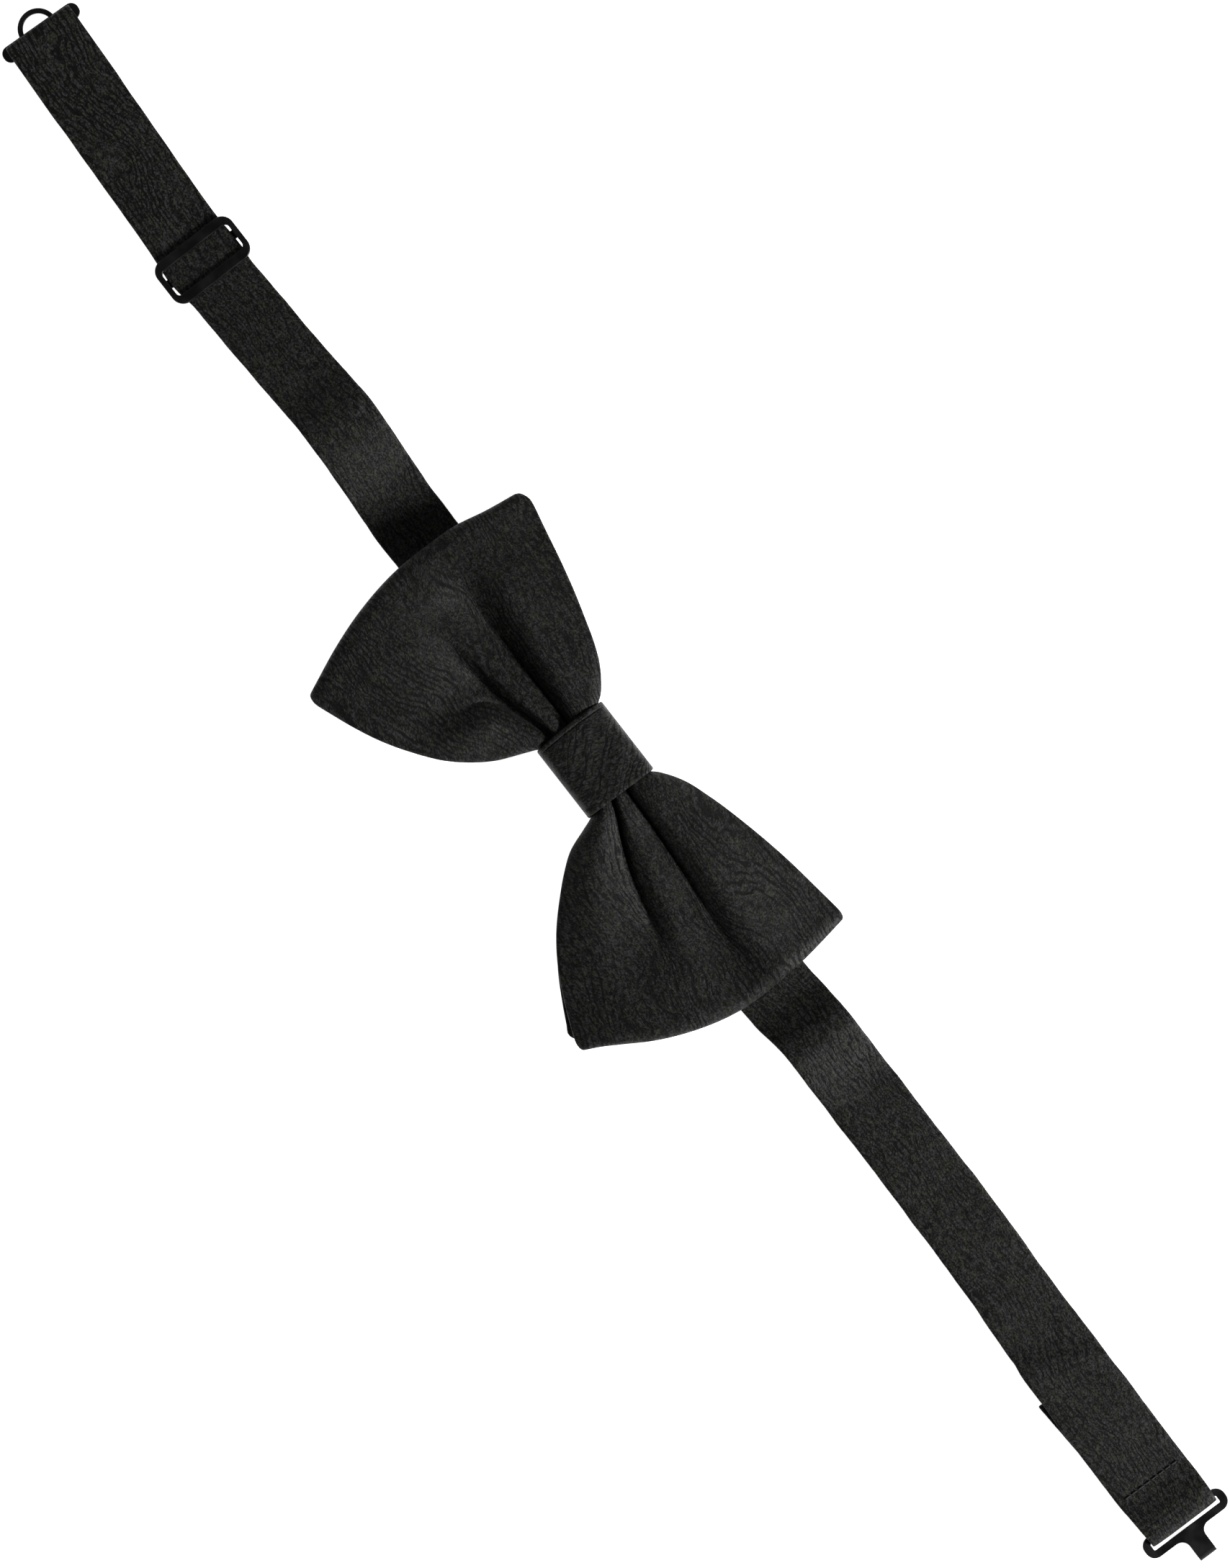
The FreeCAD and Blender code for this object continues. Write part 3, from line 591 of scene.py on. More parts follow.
def patch(upper, outer, lower, inset_end, inset_side, out, across):
    """Plan positions of one wing's panel, from the knot outward, as a grid."""
    up = rounded(upper, out)
    low = rounded(lower, out)
    edge = rounded(outer, across)
    root_low, root_high = np.array(lower[0], float), np.array(upper[0], float)
    root = root_low + (root_high - root_low) * across[:, None]
    u, v = out[:, None, None], across[None, :, None]
    grid = (
        (1 - v) * low[:, None] + v * up[:, None]
        + (1 - u) * root[None] + u * edge[None]
        - (1 - u) * (1 - v) * root_low - (1 - u) * v * root_high
        - u * (1 - v) * low[-1] - u * v * up[-1]
    )
    along, _ = slopes(grid, False)
    pull_end = inset_end * ease((u - 0.55) / 0.45)
    grid = grid - along * pull_end
    middle = grid[:, len(across) // 2][:, None]
    width = np.linalg.norm(grid[:, -1] - grid[:, 0], axis=1)[:, None, None]
    return middle + (grid - middle) * (1 - 2 * inset_side / width)


def round_corners(grid, low_r, high_r):
    """Rounds a wing's two outer corners in plan."""
    grid = grid.copy()
    along, side = slopes(grid, False)
    steps = np.linalg.norm(np.diff(grid, axis=0), axis=2)
    to_end = np.concatenate([np.cumsum(steps[::-1], axis=0)[::-1], np.zeros((1, grid.shape[1]))])
    steps = np.linalg.norm(np.diff(grid, axis=1), axis=2)
    from_low = np.concatenate([np.zeros((len(grid), 1)), np.cumsum(steps, axis=1)], axis=1)
    for r, to_side, sign in ((low_r, from_low, 1.0), (high_r, from_low[:, -1:] - from_low, -1.0)):
        a, b = np.clip(r - to_end, 0, None), np.clip(r - to_side, 0, None)
        kept = np.maximum(a, b) / np.maximum(np.hypot(a, b), 1e-9)
        inside = (a > 0) & (b > 0)
        back = np.where(inside, a * (1 - kept), 0.0)[..., None]
        inward = np.where(inside, b * (1 - kept), 0.0)[..., None]
        grid = grid - along * back + side * inward * sign
    return grid


# Rows of points on a wing's face, on its return underneath, round its fold and across it.
OUT_COUNT = 130
RET_COUNT = 34
TURN_COUNT = 9
ACROSS_COUNT = 150
FINE_ACROSS = 420
# Rows that join the wings inside the knot: on top, underneath and in the second layer.
TOP_JOIN = 11
LOW_JOIN = 7
BACK_JOIN = 9
# How much narrower the hidden return is than the face, at each side.
RETURN_INSET = 0.7
across = np.linspace(0.0, 1.0, ACROSS_COUNT)
out_top = np.linspace(0.0, 1.0, OUT_COUNT) ** 1.25
out_low = np.linspace(0.0, 1.0, RET_COUNT)


def fold_radius(v, rise):
    """Outer radius of the fold at a wing's outer edge, tighter at corners and in valleys."""
    return np.maximum(1.2 + 1.1 * (1 - (2 * v - 1) ** 4) + rise / 2, 0.9)


def wing(outline, pleats, swells, corners, lift, upper_roll, seed):
    """The three parts of one wing's outer face, from the knot out and back under.

    corners are the radii of the lower and upper outer corner, lift raises the lower corner and
    upper_roll says how much of the side roll the upper side keeps.
    """
    top = patch(*outline, 0.0, PANEL_T / 2, out_top, np.linspace(0.0, 1.0, FINE_ACROSS))
    v = line_shares(top, out_top, pleats, ACROSS_COUNT)
    plain = picked(top, v)
    top = picked(round_corners(top, *corners), v)
    u = out_top[:, None]
    reach = reach_at(u)
    x, y = top[..., 0], top[..., 1]
    depth = np.zeros_like(x)
    for rows in pleats:
        depth = (depth**3 + valley(x, y, rows) ** 3) ** (1 / 3)
    fall = np.abs(2 * v - 1) ** 5 * (1 - (1 - upper_roll) * ease((v - 0.5) / 0.3))
    base = BASE_Z + lift * ease(1 - v)
    swelling = sum(swell(x, y, rows) for rows in swells)
    radius = fold_radius(across, swelling[-1] - depth[-1])
    z = through(CROWN, reach) - through(ROLL, reach) * fall
    z = z + (swelling - depth) * (1 - ease((u - 0.7) / 0.3))
    edge_rise = base + 2 * radius[None, :] - through(CROWN, np.array([WING_REACH]))
    z = z + edge_rise * ease((u - 0.55) / 0.45)
    z = z + lift * ease(1 - v) * (ease((u - 0.1) / 0.9) - ease((u - 0.55) / 0.45))
    ripple = waves(v * 2.2 + 0.12 * np.sin(3 * u), seed, 5, 0.7, 2.6)
    z = z + 0.16 * ripple * ease(u / 0.3) * (1 - 0.6 * ease((u - 0.8) / 0.2))
    drift = waves(u * 2.0 + 0.3 * v, seed + 1, 4, 0.5, 2.0)
    z = z + 0.10 * drift * ease(u / 0.2) * (1 - ease((u - 0.85) / 0.15))
    face = np.stack([x, y, z], axis=-1)

    out_dir = unit(plain[-1] - plain[-3])
    root = top[-1] - out_dir * radius[:, None]
    low = patch(*outline, 0.0, PANEL_T / 2 + RETURN_INSET, out_low, across)
    low = round_corners(low, *corners)
    low_root = low[-1] - out_dir * radius[:, None]
    turn = []
    for k in range(1, TURN_COUNT + 1):
        a = math.pi * k / (TURN_COUNT + 1)
        share = ease(np.array(k / (TURN_COUNT + 1)))
        centre = root * (1 - share) + low_root * share
        place = centre + out_dir * (radius * math.sin(a))[:, None]
        height = base[-1] + radius + radius * math.cos(a)
        turn.append(np.concatenate([place, height[:, None]], axis=1))
    pull = ease((out_low - 0.5) / 0.5)[:, None, None] * (out_dir * radius[:, None])[None]
    low = low - pull
    under = through(UNDER, reach_at(out_low[:, None])) + 0 * across[None, :]
    under = under + lift * ease(1 - across)[None] * ease((out_low[:, None] - 0.1) / 0.9)
    back = np.concatenate([low, under[..., None]], axis=-1)[::-1]
    squeeze = ease((out_top - 0.5) / 0.5)[:, None, None] * (out_dir * radius[:, None])[None]
    face[..., :2] -= squeeze
    return face, np.array(turn), back


def waist(left, right, count, height):
    """Rows that join the two wings inside the knot."""
    rows = []
    for k in range(1, count + 1):
        share = k / (count + 1)
        row = left * (1 - share) + right * share
        pinch = math.sin(math.pi * share)
        row[:, 1] = WAIST_Y + (row[:, 1] - WAIST_Y) * (1 - 0.10 * pinch)
        row[:, 2] = row[:, 2] + (height - row[:, 2]) * 0.4 * pinch
        rows.append(row)
    return np.array(rows)


def measured(grid):
    """Cloth coordinates of a grid: run along it and run across it, in millimetres."""
    steps = np.linalg.norm(np.diff(grid, axis=0), axis=2)
    middle = np.median(steps, axis=1)
    along = np.concatenate([[0.0], np.cumsum(middle)])
    run = np.linalg.norm(np.diff(grid, axis=1), axis=2)
    side = np.concatenate([np.zeros((len(grid), 1)), np.cumsum(run, axis=1)], axis=1)
    centre = side[:, side.shape[1] // 2][:, None]
    side = side - centre
    return along[:, None] + 0 * side, side


left_outline = (LEFT_UPPER, LEFT_OUTER, LEFT_LOWER)
right_outline = (RIGHT_UPPER, RIGHT_OUTER, RIGHT_LOWER)
left_top, left_turn, left_low = wing(
    left_outline, LEFT_PLEATS, LEFT_SWELLS, corners=(1.1, 2.2), lift=6.0, upper_roll=0.5, seed=11
)
right_top, right_turn, right_low = wing(
    right_outline, RIGHT_PLEATS, RIGHT_SWELLS, corners=(0.9, 0.6), lift=0.6, upper_roll=1.0, seed=29
)
top_join = waist(left_top[0], right_top[0], TOP_JOIN, 9.9)
low_join = waist(right_low[-1], left_low[-1], LOW_JOIN, BASE_Z)
bow_rows = np.concatenate([
    left_top[::-1], top_join, right_top, right_turn, right_low, low_join, left_low[::-1],
    left_turn[::-1],
])
# Rows near the two folds are evened out, so that the fold runs into both faces smoothly. The
# gap to a fold is counted in rows, round the loop.
fold_rows = (2 * OUT_COUNT + TOP_JOIN + TURN_COUNT // 2, len(bow_rows) - TURN_COUNT // 2 - 1)
near = np.arange(len(bow_rows))
gap = np.min([np.abs((near - row + 40) % len(bow_rows) - 40) for row in fold_rows], axis=0)
share = (1 - ease((gap - 5) / 6.0))[:, None, None] * 0.5
for _ in range(10):
    even = (np.roll(bow_rows, 1, axis=0) + np.roll(bow_rows, -1, axis=0)) / 2
    bow_rows = bow_rows * (1 - share) + even * share
along_rows, side_rows = slopes(bow_rows, True)
normal = unit(np.cross(along_rows, side_rows))
normal = unit(blurred(normal, 4, True))
if normal[OUT_COUNT // 2, ACROSS_COUNT // 2, 2] < 0:
    normal = -normal
bow_inner = bow_rows - normal * PANEL_T
# The cloth's run breaks under the knot, where the strip's ends meet, and is zero on its top.
seam_row = 2 * OUT_COUNT + TOP_JOIN + TURN_COUNT + RET_COUNT + LOW_JOIN // 2 + 1
rolled = np.roll(bow_rows, -seam_row, axis=0)
run = np.linalg.norm(np.diff(rolled, axis=0), axis=2)
run = np.concatenate([np.zeros((1, ACROSS_COUNT)), np.cumsum(run, axis=0)])
run = np.roll(run, seam_row, axis=0)
run = run - run[OUT_COUNT + TOP_JOIN // 2]
fan = 0.5 * bow_rows[..., 1] + 0.5 * (across - 0.5)[None] * 60.0
bow_cloth = np.stack([run, fan, bow_rows[..., 1]], axis=-1)
bow_front = shell("bow_front", bow_rows, bow_inner, bow_cloth, bow_silk_painted_shade, loop=True)
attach(bow_front, "bow")
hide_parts("bow_front_shell", "bow_front_interlining")


# The second layer shows past the front only at the right wing's lower side.
BACK_RIGHT_UPPER = [
    (10.9, 7.3), (11.6, 8.6), (13.6, 10.7), (16.5, 12.4), (23.1, 14.9), (33.0, 17.5),
    (46.2, 20.0), (56.1, 21.3), (61.0, 21.7), (62.3, 21.0),
]
BACK_RIGHT_OUTER = [
    (47.9, -43.7), (50.4, -39.9), (55.0, -33.6), (58.8, -27.6), (61.6, -21.0), (65.0, -9.5),
    (65.4, 0.0), (64.9, 9.5), (63.4, 16.5), (62.3, 21.0),
]
BACK_RIGHT_LOWER = [
    (10.9, -7.9), (11.6, -11.0), (13.6, -16.9), (16.5, -21.3), (19.8, -25.0), (26.4, -31.4),
    (33.0, -36.6), (39.6, -40.5), (44.4, -43.0), (46.7, -44.1), (47.9, -43.7),
]
BACK_TOP = [(0.0, 4.4), (11.0, 4.3), (24.0, 2.6), (45.0, 2.2), (68.0, 2.2)]
BACK_LOW = [(0.0, 2.7), (11.0, 2.7), (24.0, 1.5), (45.0, 1.3), (68.0, 1.3)]


def back_wing(grid, out, seed):
    """Top and bottom faces of the flat piece on one side."""
    u, v = out[:, None], np.linspace(0.0, 1.0, grid.shape[1])[None, :]
    reach = reach_at(u)
    sway = 0.07 * waves(u * 1.6 + 0.7 * v, seed, 4, 0.6, 2.2) * ease(u / 0.3)
    high = through(BACK_TOP, reach) + sway - 0.07
    low = through(BACK_LOW, reach) + 0.5 * sway + 0.07
    seam = np.exp(-(((grid[..., 1] - WAIST_Y) / 0.45) ** 2))
    low = low + 0.22 * seam * ease(u / 0.1)
    top = np.concatenate([grid, (high + 0 * v)[..., None]], axis=-1)
    under = np.concatenate([grid, (low + 0 * v)[..., None]], axis=-1)
    return top, under


back_out = np.linspace(0.0, 1.0, 60)
back_across = np.linspace(0.0, 1.0, 90)
left_plan = patch(*left_outline, 1.6, 1.15, back_out, back_across)
right_plan = patch(
    BACK_RIGHT_UPPER, BACK_RIGHT_OUTER, BACK_RIGHT_LOWER, 0.0, 0.45, back_out, back_across
)
left_high, left_under = back_wing(left_plan, back_out, 41)
right_high, right_under = back_wing(right_plan, back_out, 43)
high_rows = np.concatenate([
    left_high[::-1], waist(left_high[0], right_high[0], BACK_JOIN, 4.3), right_high,
])
under_rows = np.concatenate([
    left_under[::-1], waist(left_under[0], right_under[0], BACK_JOIN, 2.75), right_under,
])
run_along, run_across = measured(high_rows)
back_cloth = np.stack([run_along + BACK_RUN, run_across, run_across], axis=-1)
bow_back = shell("bow_back", high_rows, under_rows, back_cloth, bow_silk_painted_shade)
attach(bow_back, "bow")
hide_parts("bow_back_shell", "bow_back_interlining", "bow_centre_tack")


# ---- the knot ----
def knot_ring():
    """The wrap's outer line, from one side of the slit at the back round to the other."""
    (y0, y1), top = KNOT_Y, KNOT_H
    return [
        (3.75, 0.0), (0.0, 0.0), (-5.0, 0.0), (-8.3, 0.05), (-9.35, 0.5), (y0, 1.8),
        (y0 - 0.02, 4.5), (y0, 7.8), (y0 + 0.25, 9.9), (y0 + 1.1, 11.25), (y0 + 2.6, 11.9),
        (y0 + 5.2, top - 0.12), (0.0, top), (y1 - 5.2, top - 0.10), (y1 - 2.5, 11.85),
        (y1 - 1.05, 11.2), (y1 - 0.25, 9.9), (y1, 7.8), (y1 + 0.02, 4.5), (y1, 1.8),
        (y1 - 0.35, 0.5), (7.9, 0.05), (6.2, 0.0), (4.25, 0.0),
    ]


def knot_faces():
    """The wrap's outer and inner faces and its cloth coordinates."""
    ring = rounded(knot_ring(), np.linspace(0.0, 1.0, 190))
    run = distances(ring)
    # Rows across are close together at the edge stitching.
    v = np.concatenate([
        np.linspace(0.0, 0.03, 4), np.linspace(0.034, 0.056, 9), np.linspace(0.065, 1.0, 40),
    ])[None, :]
    on_top = ease((ring[:, 1] - 6.0) / 4.0)
    left_side = KNOT_X[0] + KNOT_T / 2 - 0.45 * on_top * (1 - (ring[:, 0] / 9.6) ** 2)
    right_side = KNOT_X[1] - KNOT_T / 2 + 0.015 * ring[:, 0] * on_top
    x = left_side[:, None] * (1 - v) + right_side[:, None] * v
    tangent = unit(np.gradient(ring, axis=0))
    outward = np.stack([-tangent[:, 1], tangent[:, 0]], axis=1)
    if outward[len(ring) // 2, 1] < 0:
        outward = -outward
    u = run[:, None] / run[-1]
    dent = 0.09 * waves(1.3 * v + 2.2 * u, 71, 4, 0.7, 2.0)
    dent = dent + 0.05 * waves(3.0 * u + 0.8 * v, 73, 3, 1.5, 4.0)
    dent = dent - 0.10 * np.abs(2 * v - 1) ** 8 - 0.10
    dent = dent - 0.22 * np.exp(-(((v - 0.045) / 0.009) ** 2))

    def face(raised):
        y, z = (ring[:, k : k + 1] + outward[:, k : k + 1] * raised for k in (0, 1))
        return np.stack([x, y, z], axis=-1)

    around = run[:, None] + 0 * x
    cloth = np.stack([0.80 * around - 0.60 * x + KNOT_RUN, 0.60 * around + 0.80 * x, x], axis=-1)
    return face(dent * ease(on_top[:, None]) - 0.05), face(-KNOT_T + 0 * x), cloth


knot_outer, knot_inner, knot_cloth = knot_faces()
knot = shell("knot_wrap_cloth", knot_outer, knot_inner, knot_cloth, knot_silk_painted_shade)
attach(knot, "bow")
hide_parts("knot_wrap", "knot_interlining")


# ---- the band ----
# The band is held flat over this length at both of its ends.
HOLD_RUN = 14.0
# Shares across the band, close together at the edges and at the seam in the middle behind.
BAND_ACROSS = np.array([
    0.0, 0.012, 0.03, 0.06, 0.1, 0.15, 0.21, 0.28, 0.35, 0.41, 0.455, 0.475, 0.487, 0.494, 0.5,
    0.506, 0.513, 0.525, 0.545, 0.59, 0.65, 0.72, 0.79, 0.85, 0.9, 0.94, 0.97, 0.988, 1.0,
])


def ribbon(name, rows, facing, run, seed=0, free=0.0, tail=False, step=0.8, silk=cloth_silk,
           settled=None, uneven=None, creased=False, sunk=0.0):
    """A flat sewn band along rows of x, z, y, width and angle, and its length.

    facing is 1 where the rows run towards +X with the good side up, and -1 where they run the
    other way. free is how much the band lifts, tilts and puckers, and uneven how much its width
    wanders, up to the length `settled`. tail rounds the last end. sunk takes from both faces.
    """
    rows = np.array(rows, float)
    chord = distances(rows[:, :2])
    length = chord[-1]
    at = np.linspace(0.0, length, int(length / step) + 2)
    half = BAND_T / 2
    thin = 1 + 0 * at
    if tail:
        ends = [length - half * (1 - math.cos(math.radians(a))) for a in (75, 60, 45, 30, 15, 4)]
        at = np.concatenate([at[at < length - half * 1.05], ends])
        past = np.clip(1 - (length - at) / half, 0, 1)
        thin = np.sqrt(np.clip(1 - past**2, 0.02, 1))
    x, z, y, width, angle = through(np.column_stack([chord, rows]), at).T
    a = np.radians(angle)
    slope = unit(np.stack([np.gradient(x, at), np.gradient(z, at)], axis=1))
    tangent = np.stack([slope[:, 0] * np.cos(a), slope[:, 0] * np.sin(a), slope[:, 1]], axis=1)
    cross = np.stack([-np.sin(a), np.cos(a), 0 * a], axis=1)
    normal = np.cross(tangent, cross) * facing
    v = 2 * BAND_ACROSS[None] - 1

    apart = ease(at / HOLD_RUN) * ease(((settled or length) - at) / HOLD_RUN)
    calm = apart * free
    lift = 0.10 * (1.2 + waves(at / 34.0, seed)) * calm
    tilt = 0.13 * waves(at / 52.0, seed + 1) * calm
    pucker = 0.035 * waves(at / 3.4, seed + 2, 4, 0.6, 1.8) * (0.3 + 0.7 * free)
    wander = 0.16 * waves(at / 24.0, seed + 3, 5, 0.5, 2.5)
    width = width + wander * apart * (free if uneven is None else uneven)
    side = (width[:, None] / 2 - half) * v
    rise = lift[:, None] + tilt[:, None] * v + np.abs(tilt)[:, None]
    raised = rise * ease(normal[:, 2] / 0.6)[:, None]
    pillow = -0.13 * np.abs(v) ** 7 + pucker[:, None] * np.abs(v) ** 3 - 0.04 - sunk
    if creased:
        raised = raised + skewed(at, side, z) + ribs(at, v)
        pillow = pillow - diagonal_crease(at, side)
    centre = np.stack([x, y, z], axis=1)[:, None] + cross[:, None] * side[..., None]
    centre = centre + np.stack([0 * raised, 0 * raised, raised], axis=-1)
    up = normal[:, None] * np.ones_like(v)[..., None]
    outer = centre + up * (half * thin[:, None] + pillow * thin[:, None])[..., None]
    seam = 0.20 * np.exp(-((side / 0.22) ** 2))
    seam = seam - 0.05 * np.exp(-(((np.abs(side) - 0.75) / 0.5) ** 2))
    inner = centre - up * ((half - 0.06 - sunk - seam) * thin[:, None])[..., None]
    marks = np.stack([(at + run)[:, None] + 0 * side, side, side], axis=-1)
    return shell(name, outer, inner, marks, silk), length


def within(at, span, blend):
    """1 inside a span of the band's length, easing to 0 at both of its ends."""
    return (ease((at - span[0]) / blend) * ease((span[1] - at) / blend))[:, None]


def skewed(at, side, z):
    """How the band's rise over the flap runs aslant, instead of straight across."""
    aslant = np.interp(at[:, None] + -0.5 * side * within(at, (154.0, 200.0), 8.0), at, z)
    return aslant - z[:, None]


def ribs(at, v):
    """The narrow crinkles across the band before the hook."""
    pitch, height = 1.3, 0.12
    wave = np.sin(2 * math.pi * at / pitch + 0.9 * waves(at / 9.0, 3))[:, None]
    return height * (wave * within(at, (212.0, 221.5), 1.5)) * (0.6 - 0.4 * v)


def diagonal_crease(at, side):
    """Depth of the crease that runs across the band where the flap ends."""
    place, slant, half_width, depth, fades_at = 179.7, 1.07, 1.46 * 1.5, 0.46, 7.0
    off = (at[:, None] - place - slant * side) / half_width
    return depth * np.exp(-(off**2)) * ease((fades_at - side) / 4.0)


left_rows = [
    (0.4, 1.53, -0.3, 16.4, 0.0), (-9.0, 1.53, -0.3, 16.8, 0.0), (-12.3, 1.25, -0.3, 17.0, 0.0),
    (-16.0, 0.52, -0.3, 17.2, 0.0), (-40.0, 0.5, -0.3, 17.4, 0.0), (-62.0, 0.5, -0.3, 17.6, 0.0),
    (-70.5, 0.5, -0.3, 17.6, 0.0), (-75.5, 0.75, 0.0, 17.6, 0.0), (-86.0, 3.4, 0.7, 17.5, 0.0),
    (-93.0, 5.4, 1.1, 17.5, 0.0), (-97.5, 6.0, 1.2, 17.5, 0.0), (-102.0, 5.3, 1.05, 17.5, 0.0),
    (-108.0, 3.9, 0.7, 17.4, 0.0), (-115.0, 3.5, 0.3, 17.3, 0.0), (-130.0, 3.5, -0.3, 17.3, 0.0),
    (-137.5, 3.5, -0.6, 17.1, 0.0), (-142.0, 3.5, -0.8, 18.2, -0.4),
    (-146.0, 3.5, -0.98, 18.5, -1.6), (-149.8, 3.5, -0.92, 18.0, LOOP_ANGLE),
]
band_left, left_length = ribbon("band_left_cloth", left_rows, -1, LEFT_RUN, 5, 1.0)
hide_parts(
    "band_left", "band_left_interlining", "band_centre", "band_centre_interlining"
)
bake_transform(band_left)


def loop_rows(points):
    """Rows of a run of the adjustable loop, from (x before the loop's turn, z, width) rows."""
    a = math.radians(LOOP_ANGLE)
    rows = []
    for x, z, width in points:
        along = x - LOOP_PIVOT[0]
        rows.append((
            LOOP_PIVOT[0] + along * math.cos(a), z, LOOP_PIVOT[1] + along * math.sin(a), width,
            LOOP_ANGLE,
        ))
    return rows


TURN_X = -204.6
RUN_START = -149.8
run_out = loop_rows([
    (RUN_START, 3.5, 18.0), (-155.0, 3.5, 17.6), (-166.0, 3.5, 17.6), (-180.0, 3.5, 17.9),
    (-194.0, 3.5, 18.1), (TURN_X, 3.5, 18.1),
])
turn_points = [
    (TURN_X, 3.5, 18.1), (-206.5, 3.5, 18.1), (-208.4, 3.52, 18.1), (-209.8, 3.5, 18.0),
    (-210.5, 3.35, 17.9), (-210.85, 3.05, 17.9), (-210.75, 2.75, 17.8), (-210.35, 2.45, 17.6),
    (-210.05, 2.1, 17.3), (-209.95, 1.7, 17.3), (-209.85, 1.3, 17.3), (-209.5, 0.85, 17.3),
    (-209.0, 0.6, 17.3), (-208.4, 0.5, 17.3), (-207.0, 0.5, 17.3), (TURN_X, 0.5, 17.3),
]
outer_run, loop_length = ribbon(
    "band_outer_run_cloth", run_out + loop_rows(turn_points[1:]), -1, LEFT_RUN + left_length,
    8, step=0.35, silk=loop_silk_painted_light, settled=RUN_START - TURN_X, uneven=0.8,
)
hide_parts("band_outer_run", "band_eye_turn")
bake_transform(outer_run)

# The return run's share of the slider's travel is a half at the eye. A span a little longer
# than the run keeps it from folding over itself where the slider comes up to the eye.
run_back = loop_rows([(x, 0.5, 17.3) for x in (TURN_X, -196.0, -185.0, -170.0, -149.4)])
return_run, back_length = ribbon(
    "band_return_run_cloth", run_back, -1, LEFT_RUN + left_length + loop_length,
    silk=loop_silk_painted_light, sunk=0.05,
)
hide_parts("band_return_run")
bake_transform(return_run)

WRAP_R = 0.95
# Rows of x, z, y, width and angle, with x and y counted from the slider's middle.
wrap_rows = [(-4.4, 0.5, 0.0, 17.3, 0.0), (-2.0, 0.5, 0.0, 17.9, 0.0)]
for step_angle in range(0, 181, 20):
    a = math.radians(step_angle)
    wrap_rows.append((WRAP_R * math.sin(a), 0.5 + WRAP_R - WRAP_R * math.cos(a), 0.0, 18.4, 0.0))
wrap_rows += [
    (-2.4, 2.38, 0.0, 18.2, 0.0), (-4.0, 2.0, 0.0, 17.5, 0.0), (-5.6, 1.6, 0.05, 17.3, -1.0),
    (-8.0, 1.55, 0.1, 17.3, -2.0), (-11.0, 1.55, 0.2, 17.2, -2.7),
]
wrap_rows = [(SLIDER_X + x, z, SLIDER_Y + y, width, a) for x, z, y, width, a in wrap_rows]
sewn_end, end_length = ribbon(
    "band_sewn_end_cloth", wrap_rows, 1, SEWN_RUN, tail=True, step=0.25
)
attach(sewn_end, "slider_end")
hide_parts("band_sewn_end")


def lean_y(x, y):
    """A place y off the hook end's own line, which leaves the X axis at HOOK_PIVOT."""
    return y + (x - HOOK_PIVOT[0]) * math.tan(math.radians(HOOK_ANGLE))


right_rows = [
    (0.6, 1.53, -0.3, 17.0, 0.0), (9.5, 1.53, -0.3, 17.4, 0.0), (13.0, 1.25, -0.25, 17.6, 0.0),
    (16.8, 0.52, -0.2, 17.9, 0.0), (40.0, 0.5, -0.2, 18.2, 0.0), (66.0, 0.5, -0.1, 18.6, 0.0),
    (71.0, 0.62, 0.15, 18.6, 0.0), (76.0, 2.0, 0.7, 18.3, 0.0), (80.0, 3.6, 1.1, 18.1, 0.0),
    (83.0, 4.0, 1.2, 18.0, 0.0), (87.5, 3.1, 1.15, 18.0, 0.0), (93.0, 1.3, 1.1, 18.0, 0.0),
    (99.0, 0.52, 1.08, 18.0, 0.0), (115.0, 0.5, 1.0, 18.2, 0.0), (132.0, 0.5, 0.85, 18.3, 0.0),
    (148.0, 0.5, 0.45, 18.3, 0.0), (160.0, 0.5, -0.1, 18.5, -0.5),
]
right_rows += [(x, z, lean_y(x, y), width, -1.0) for x, z, y, width in (
    (169.0, 0.52, -0.3, 19.0), (172.5, 0.95, -0.4, 19.3), (175.5, 1.6, -0.4, 19.4),
    (195.0, 1.6, -0.4, 19.4), (210.0, 1.62, -0.3, 19.4), (214.0, 2.3, -0.1, 19.2),
    (218.0, 3.4, 0.0, 18.9),
)]
for step_angle in range(0, 181, 15):
    a = math.radians(step_angle)
    fold_x = HOOK_X + TURN_R * math.sin(a)
    right_rows.append((fold_x, LOOP_Z + TURN_R * math.cos(a), lean_y(fold_x, 0), 18.5, -1.0))
right_rows += [
    (216.0, 0.5, lean_y(216.0, -0.1), 18.2, -1.0), (200.0, 0.5, lean_y(200.0, -0.7), 18.3, -1.5),
    (FLAP_END_X, 0.5, lean_y(FLAP_END_X, -1.9), 18.4, -3.0),
]
band_right, right_length = ribbon(
    "band_right_cloth", right_rows, 1, RIGHT_RUN, 17, 1.0, tail=True, step=0.45,
    settled=205.0, creased=True,
)
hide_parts("band_right", "band_right_interlining", "band_hook_fold")
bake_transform(band_right)


# ---- carried-over metal and thread ----
def repaint(node, material):
    """Gives a node of the frame its finished material."""
    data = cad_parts[node].data
    data.materials.clear()
    data.materials.append(material)
    data.polygons.foreach_set("material_index", [0] * len(data.polygons))


for node in ("slider", "eye", "hook"):
    repaint(node, black_lacquer)
for node in ("knot_closing_stitches", "slider_bartack", "hook_bartack"):
    repaint(node, sewing_thread)


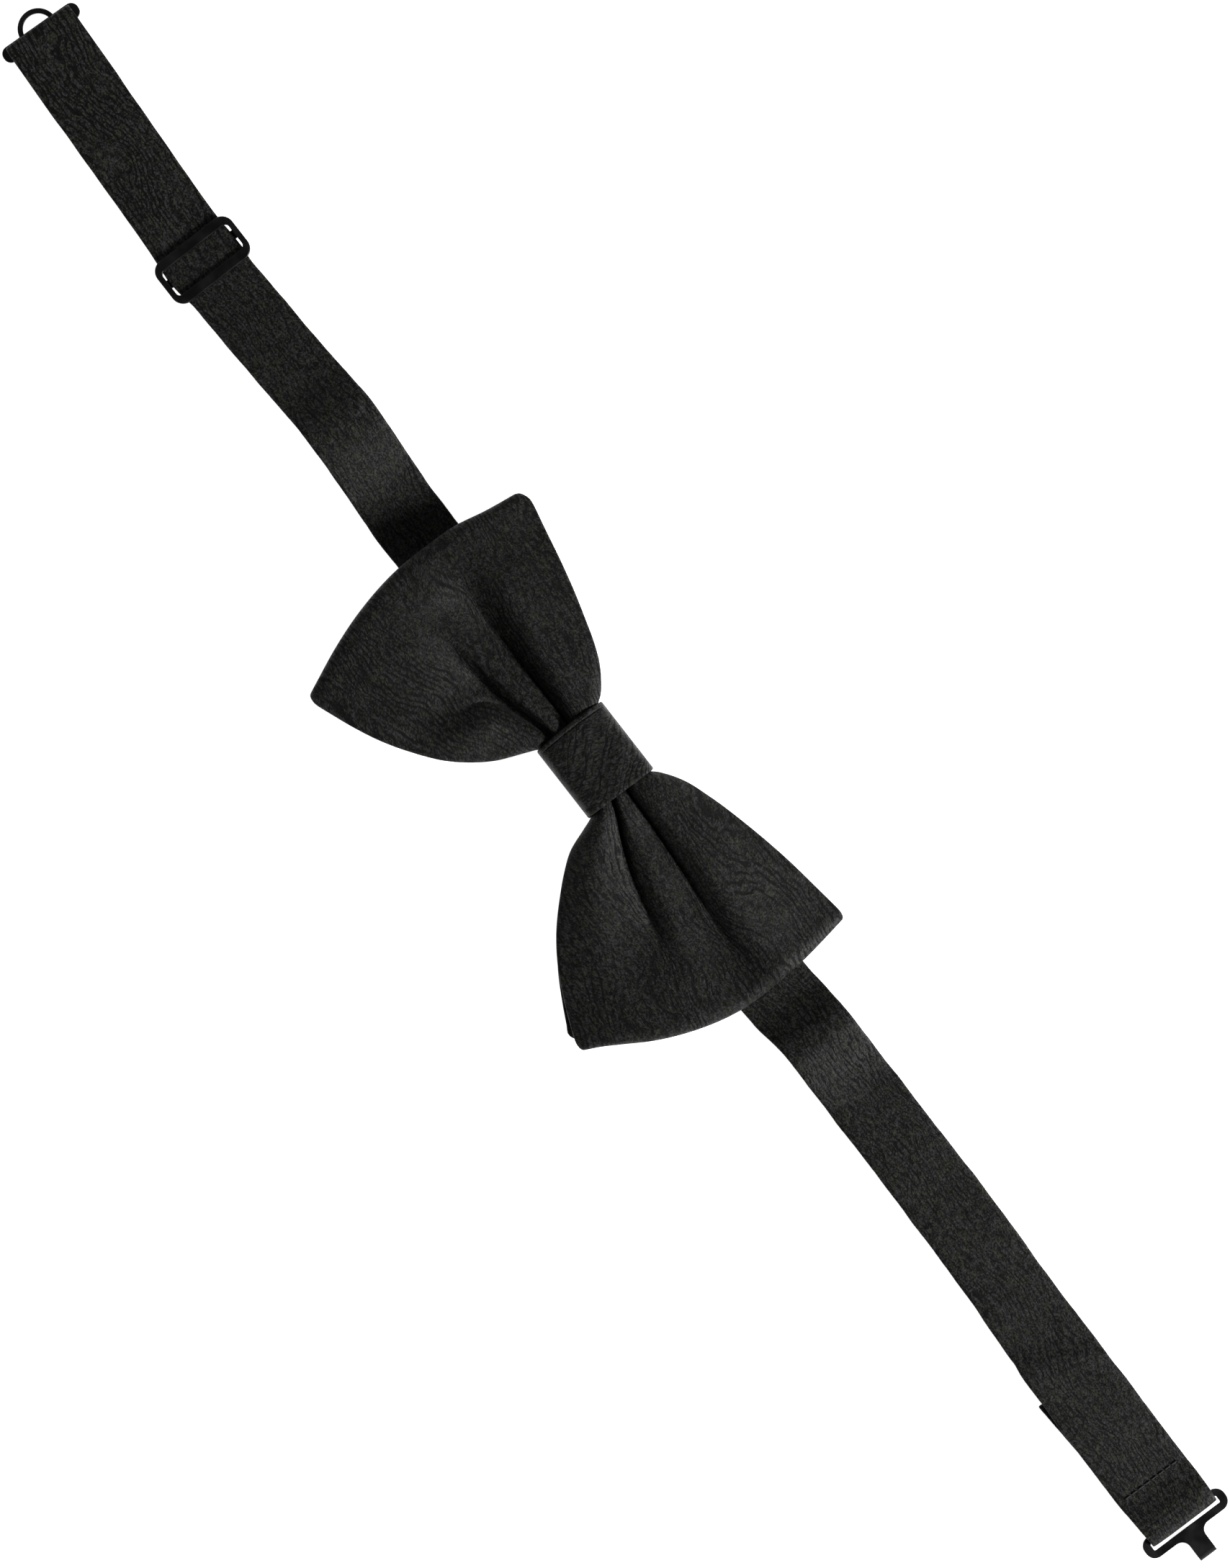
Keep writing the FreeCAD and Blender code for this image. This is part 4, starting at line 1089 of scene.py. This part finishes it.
# ---- stage ----
def area_light(name, place, size, power):
    """A square light that faces the middle of the tie."""
    lamp = bpy.data.lights.new(name, "AREA")
    lamp.shape = "RECTANGLE"
    lamp.size = size
    lamp.size_y = size
    lamp.energy = power
    made = bpy.data.objects.new(name, lamp)
    made.location = place
    made.rotation_euler = (-Vector(place)).to_track_quat("-Z", "Y").to_euler()
    bpy.context.scene.collection.objects.link(made)


def floor_material():
    """A white ground that hardly takes a shadow, as in the photo."""
    n = Nodes("pale_floor")
    n.set(
        Base_Color=(0.9, 0.9, 0.9, 1.0),
        Roughness=0.9,
        Specular_IOR_Level=0.0,
        Emission_Color=(1.0, 1.0, 1.0, 1.0),
        Emission_Strength=0.97,
    )
    return n.material


bpy.ops.mesh.primitive_plane_add(size=8.0, location=(0.0, 0.0, -0.02 * MM))
floor = bpy.context.object
floor.name = "floor"
floor.data.materials.append(floor_material())

# White near the horizon and dark overhead, so that low views keep a white ground.
world = bpy.data.worlds.new("studio")
bpy.context.scene.world = world
world.use_nodes = True
sky = world.node_tree
direction = sky.nodes.new("ShaderNodeTexCoord")
split = sky.nodes.new("ShaderNodeSeparateXYZ")
ramp = sky.nodes.new("ShaderNodeValToRGB")
stops = ramp.color_ramp.elements
stops.new(0.14)
for stop, (position, grey) in zip(stops, ((0.1, 1.0), (0.14, 0.35), (0.45, 0.035))):
    stop.position = position
    stop.color = (grey, grey, grey, 1.0)
sky.links.new(direction.outputs["Generated"], split.inputs[0])
sky.links.new(split.outputs["Z"], ramp.inputs[0])
sky.links.new(ramp.outputs[0], sky.nodes["Background"].inputs["Color"])
sky.nodes["Background"].inputs["Strength"].default_value = 1.0

area_light("key", (1.15, 0.78, 0.74), size=0.45, power=37.0)
area_light("fill", (-0.9, -0.5, 1.1), size=1.0, power=2.0)

# The camera looks straight down, turned so that the tie runs as it does in the photo.
camera_data = bpy.data.cameras.new("camera")
camera_data.lens = 100.0
camera_data.sensor_width = 36.0
camera = bpy.data.objects.new("camera", camera_data)
camera.location = (7.65 * MM, -0.1 * MM, 1.003)
camera.rotation_euler = (0.0, 0.0, math.radians(52.1))
camera_data.clip_start = 0.01
camera_data.clip_end = 50.0
bpy.context.scene.collection.objects.link(camera)
bpy.context.scene.camera = camera
bpy.context.scene.view_settings.view_transform = "Standard"
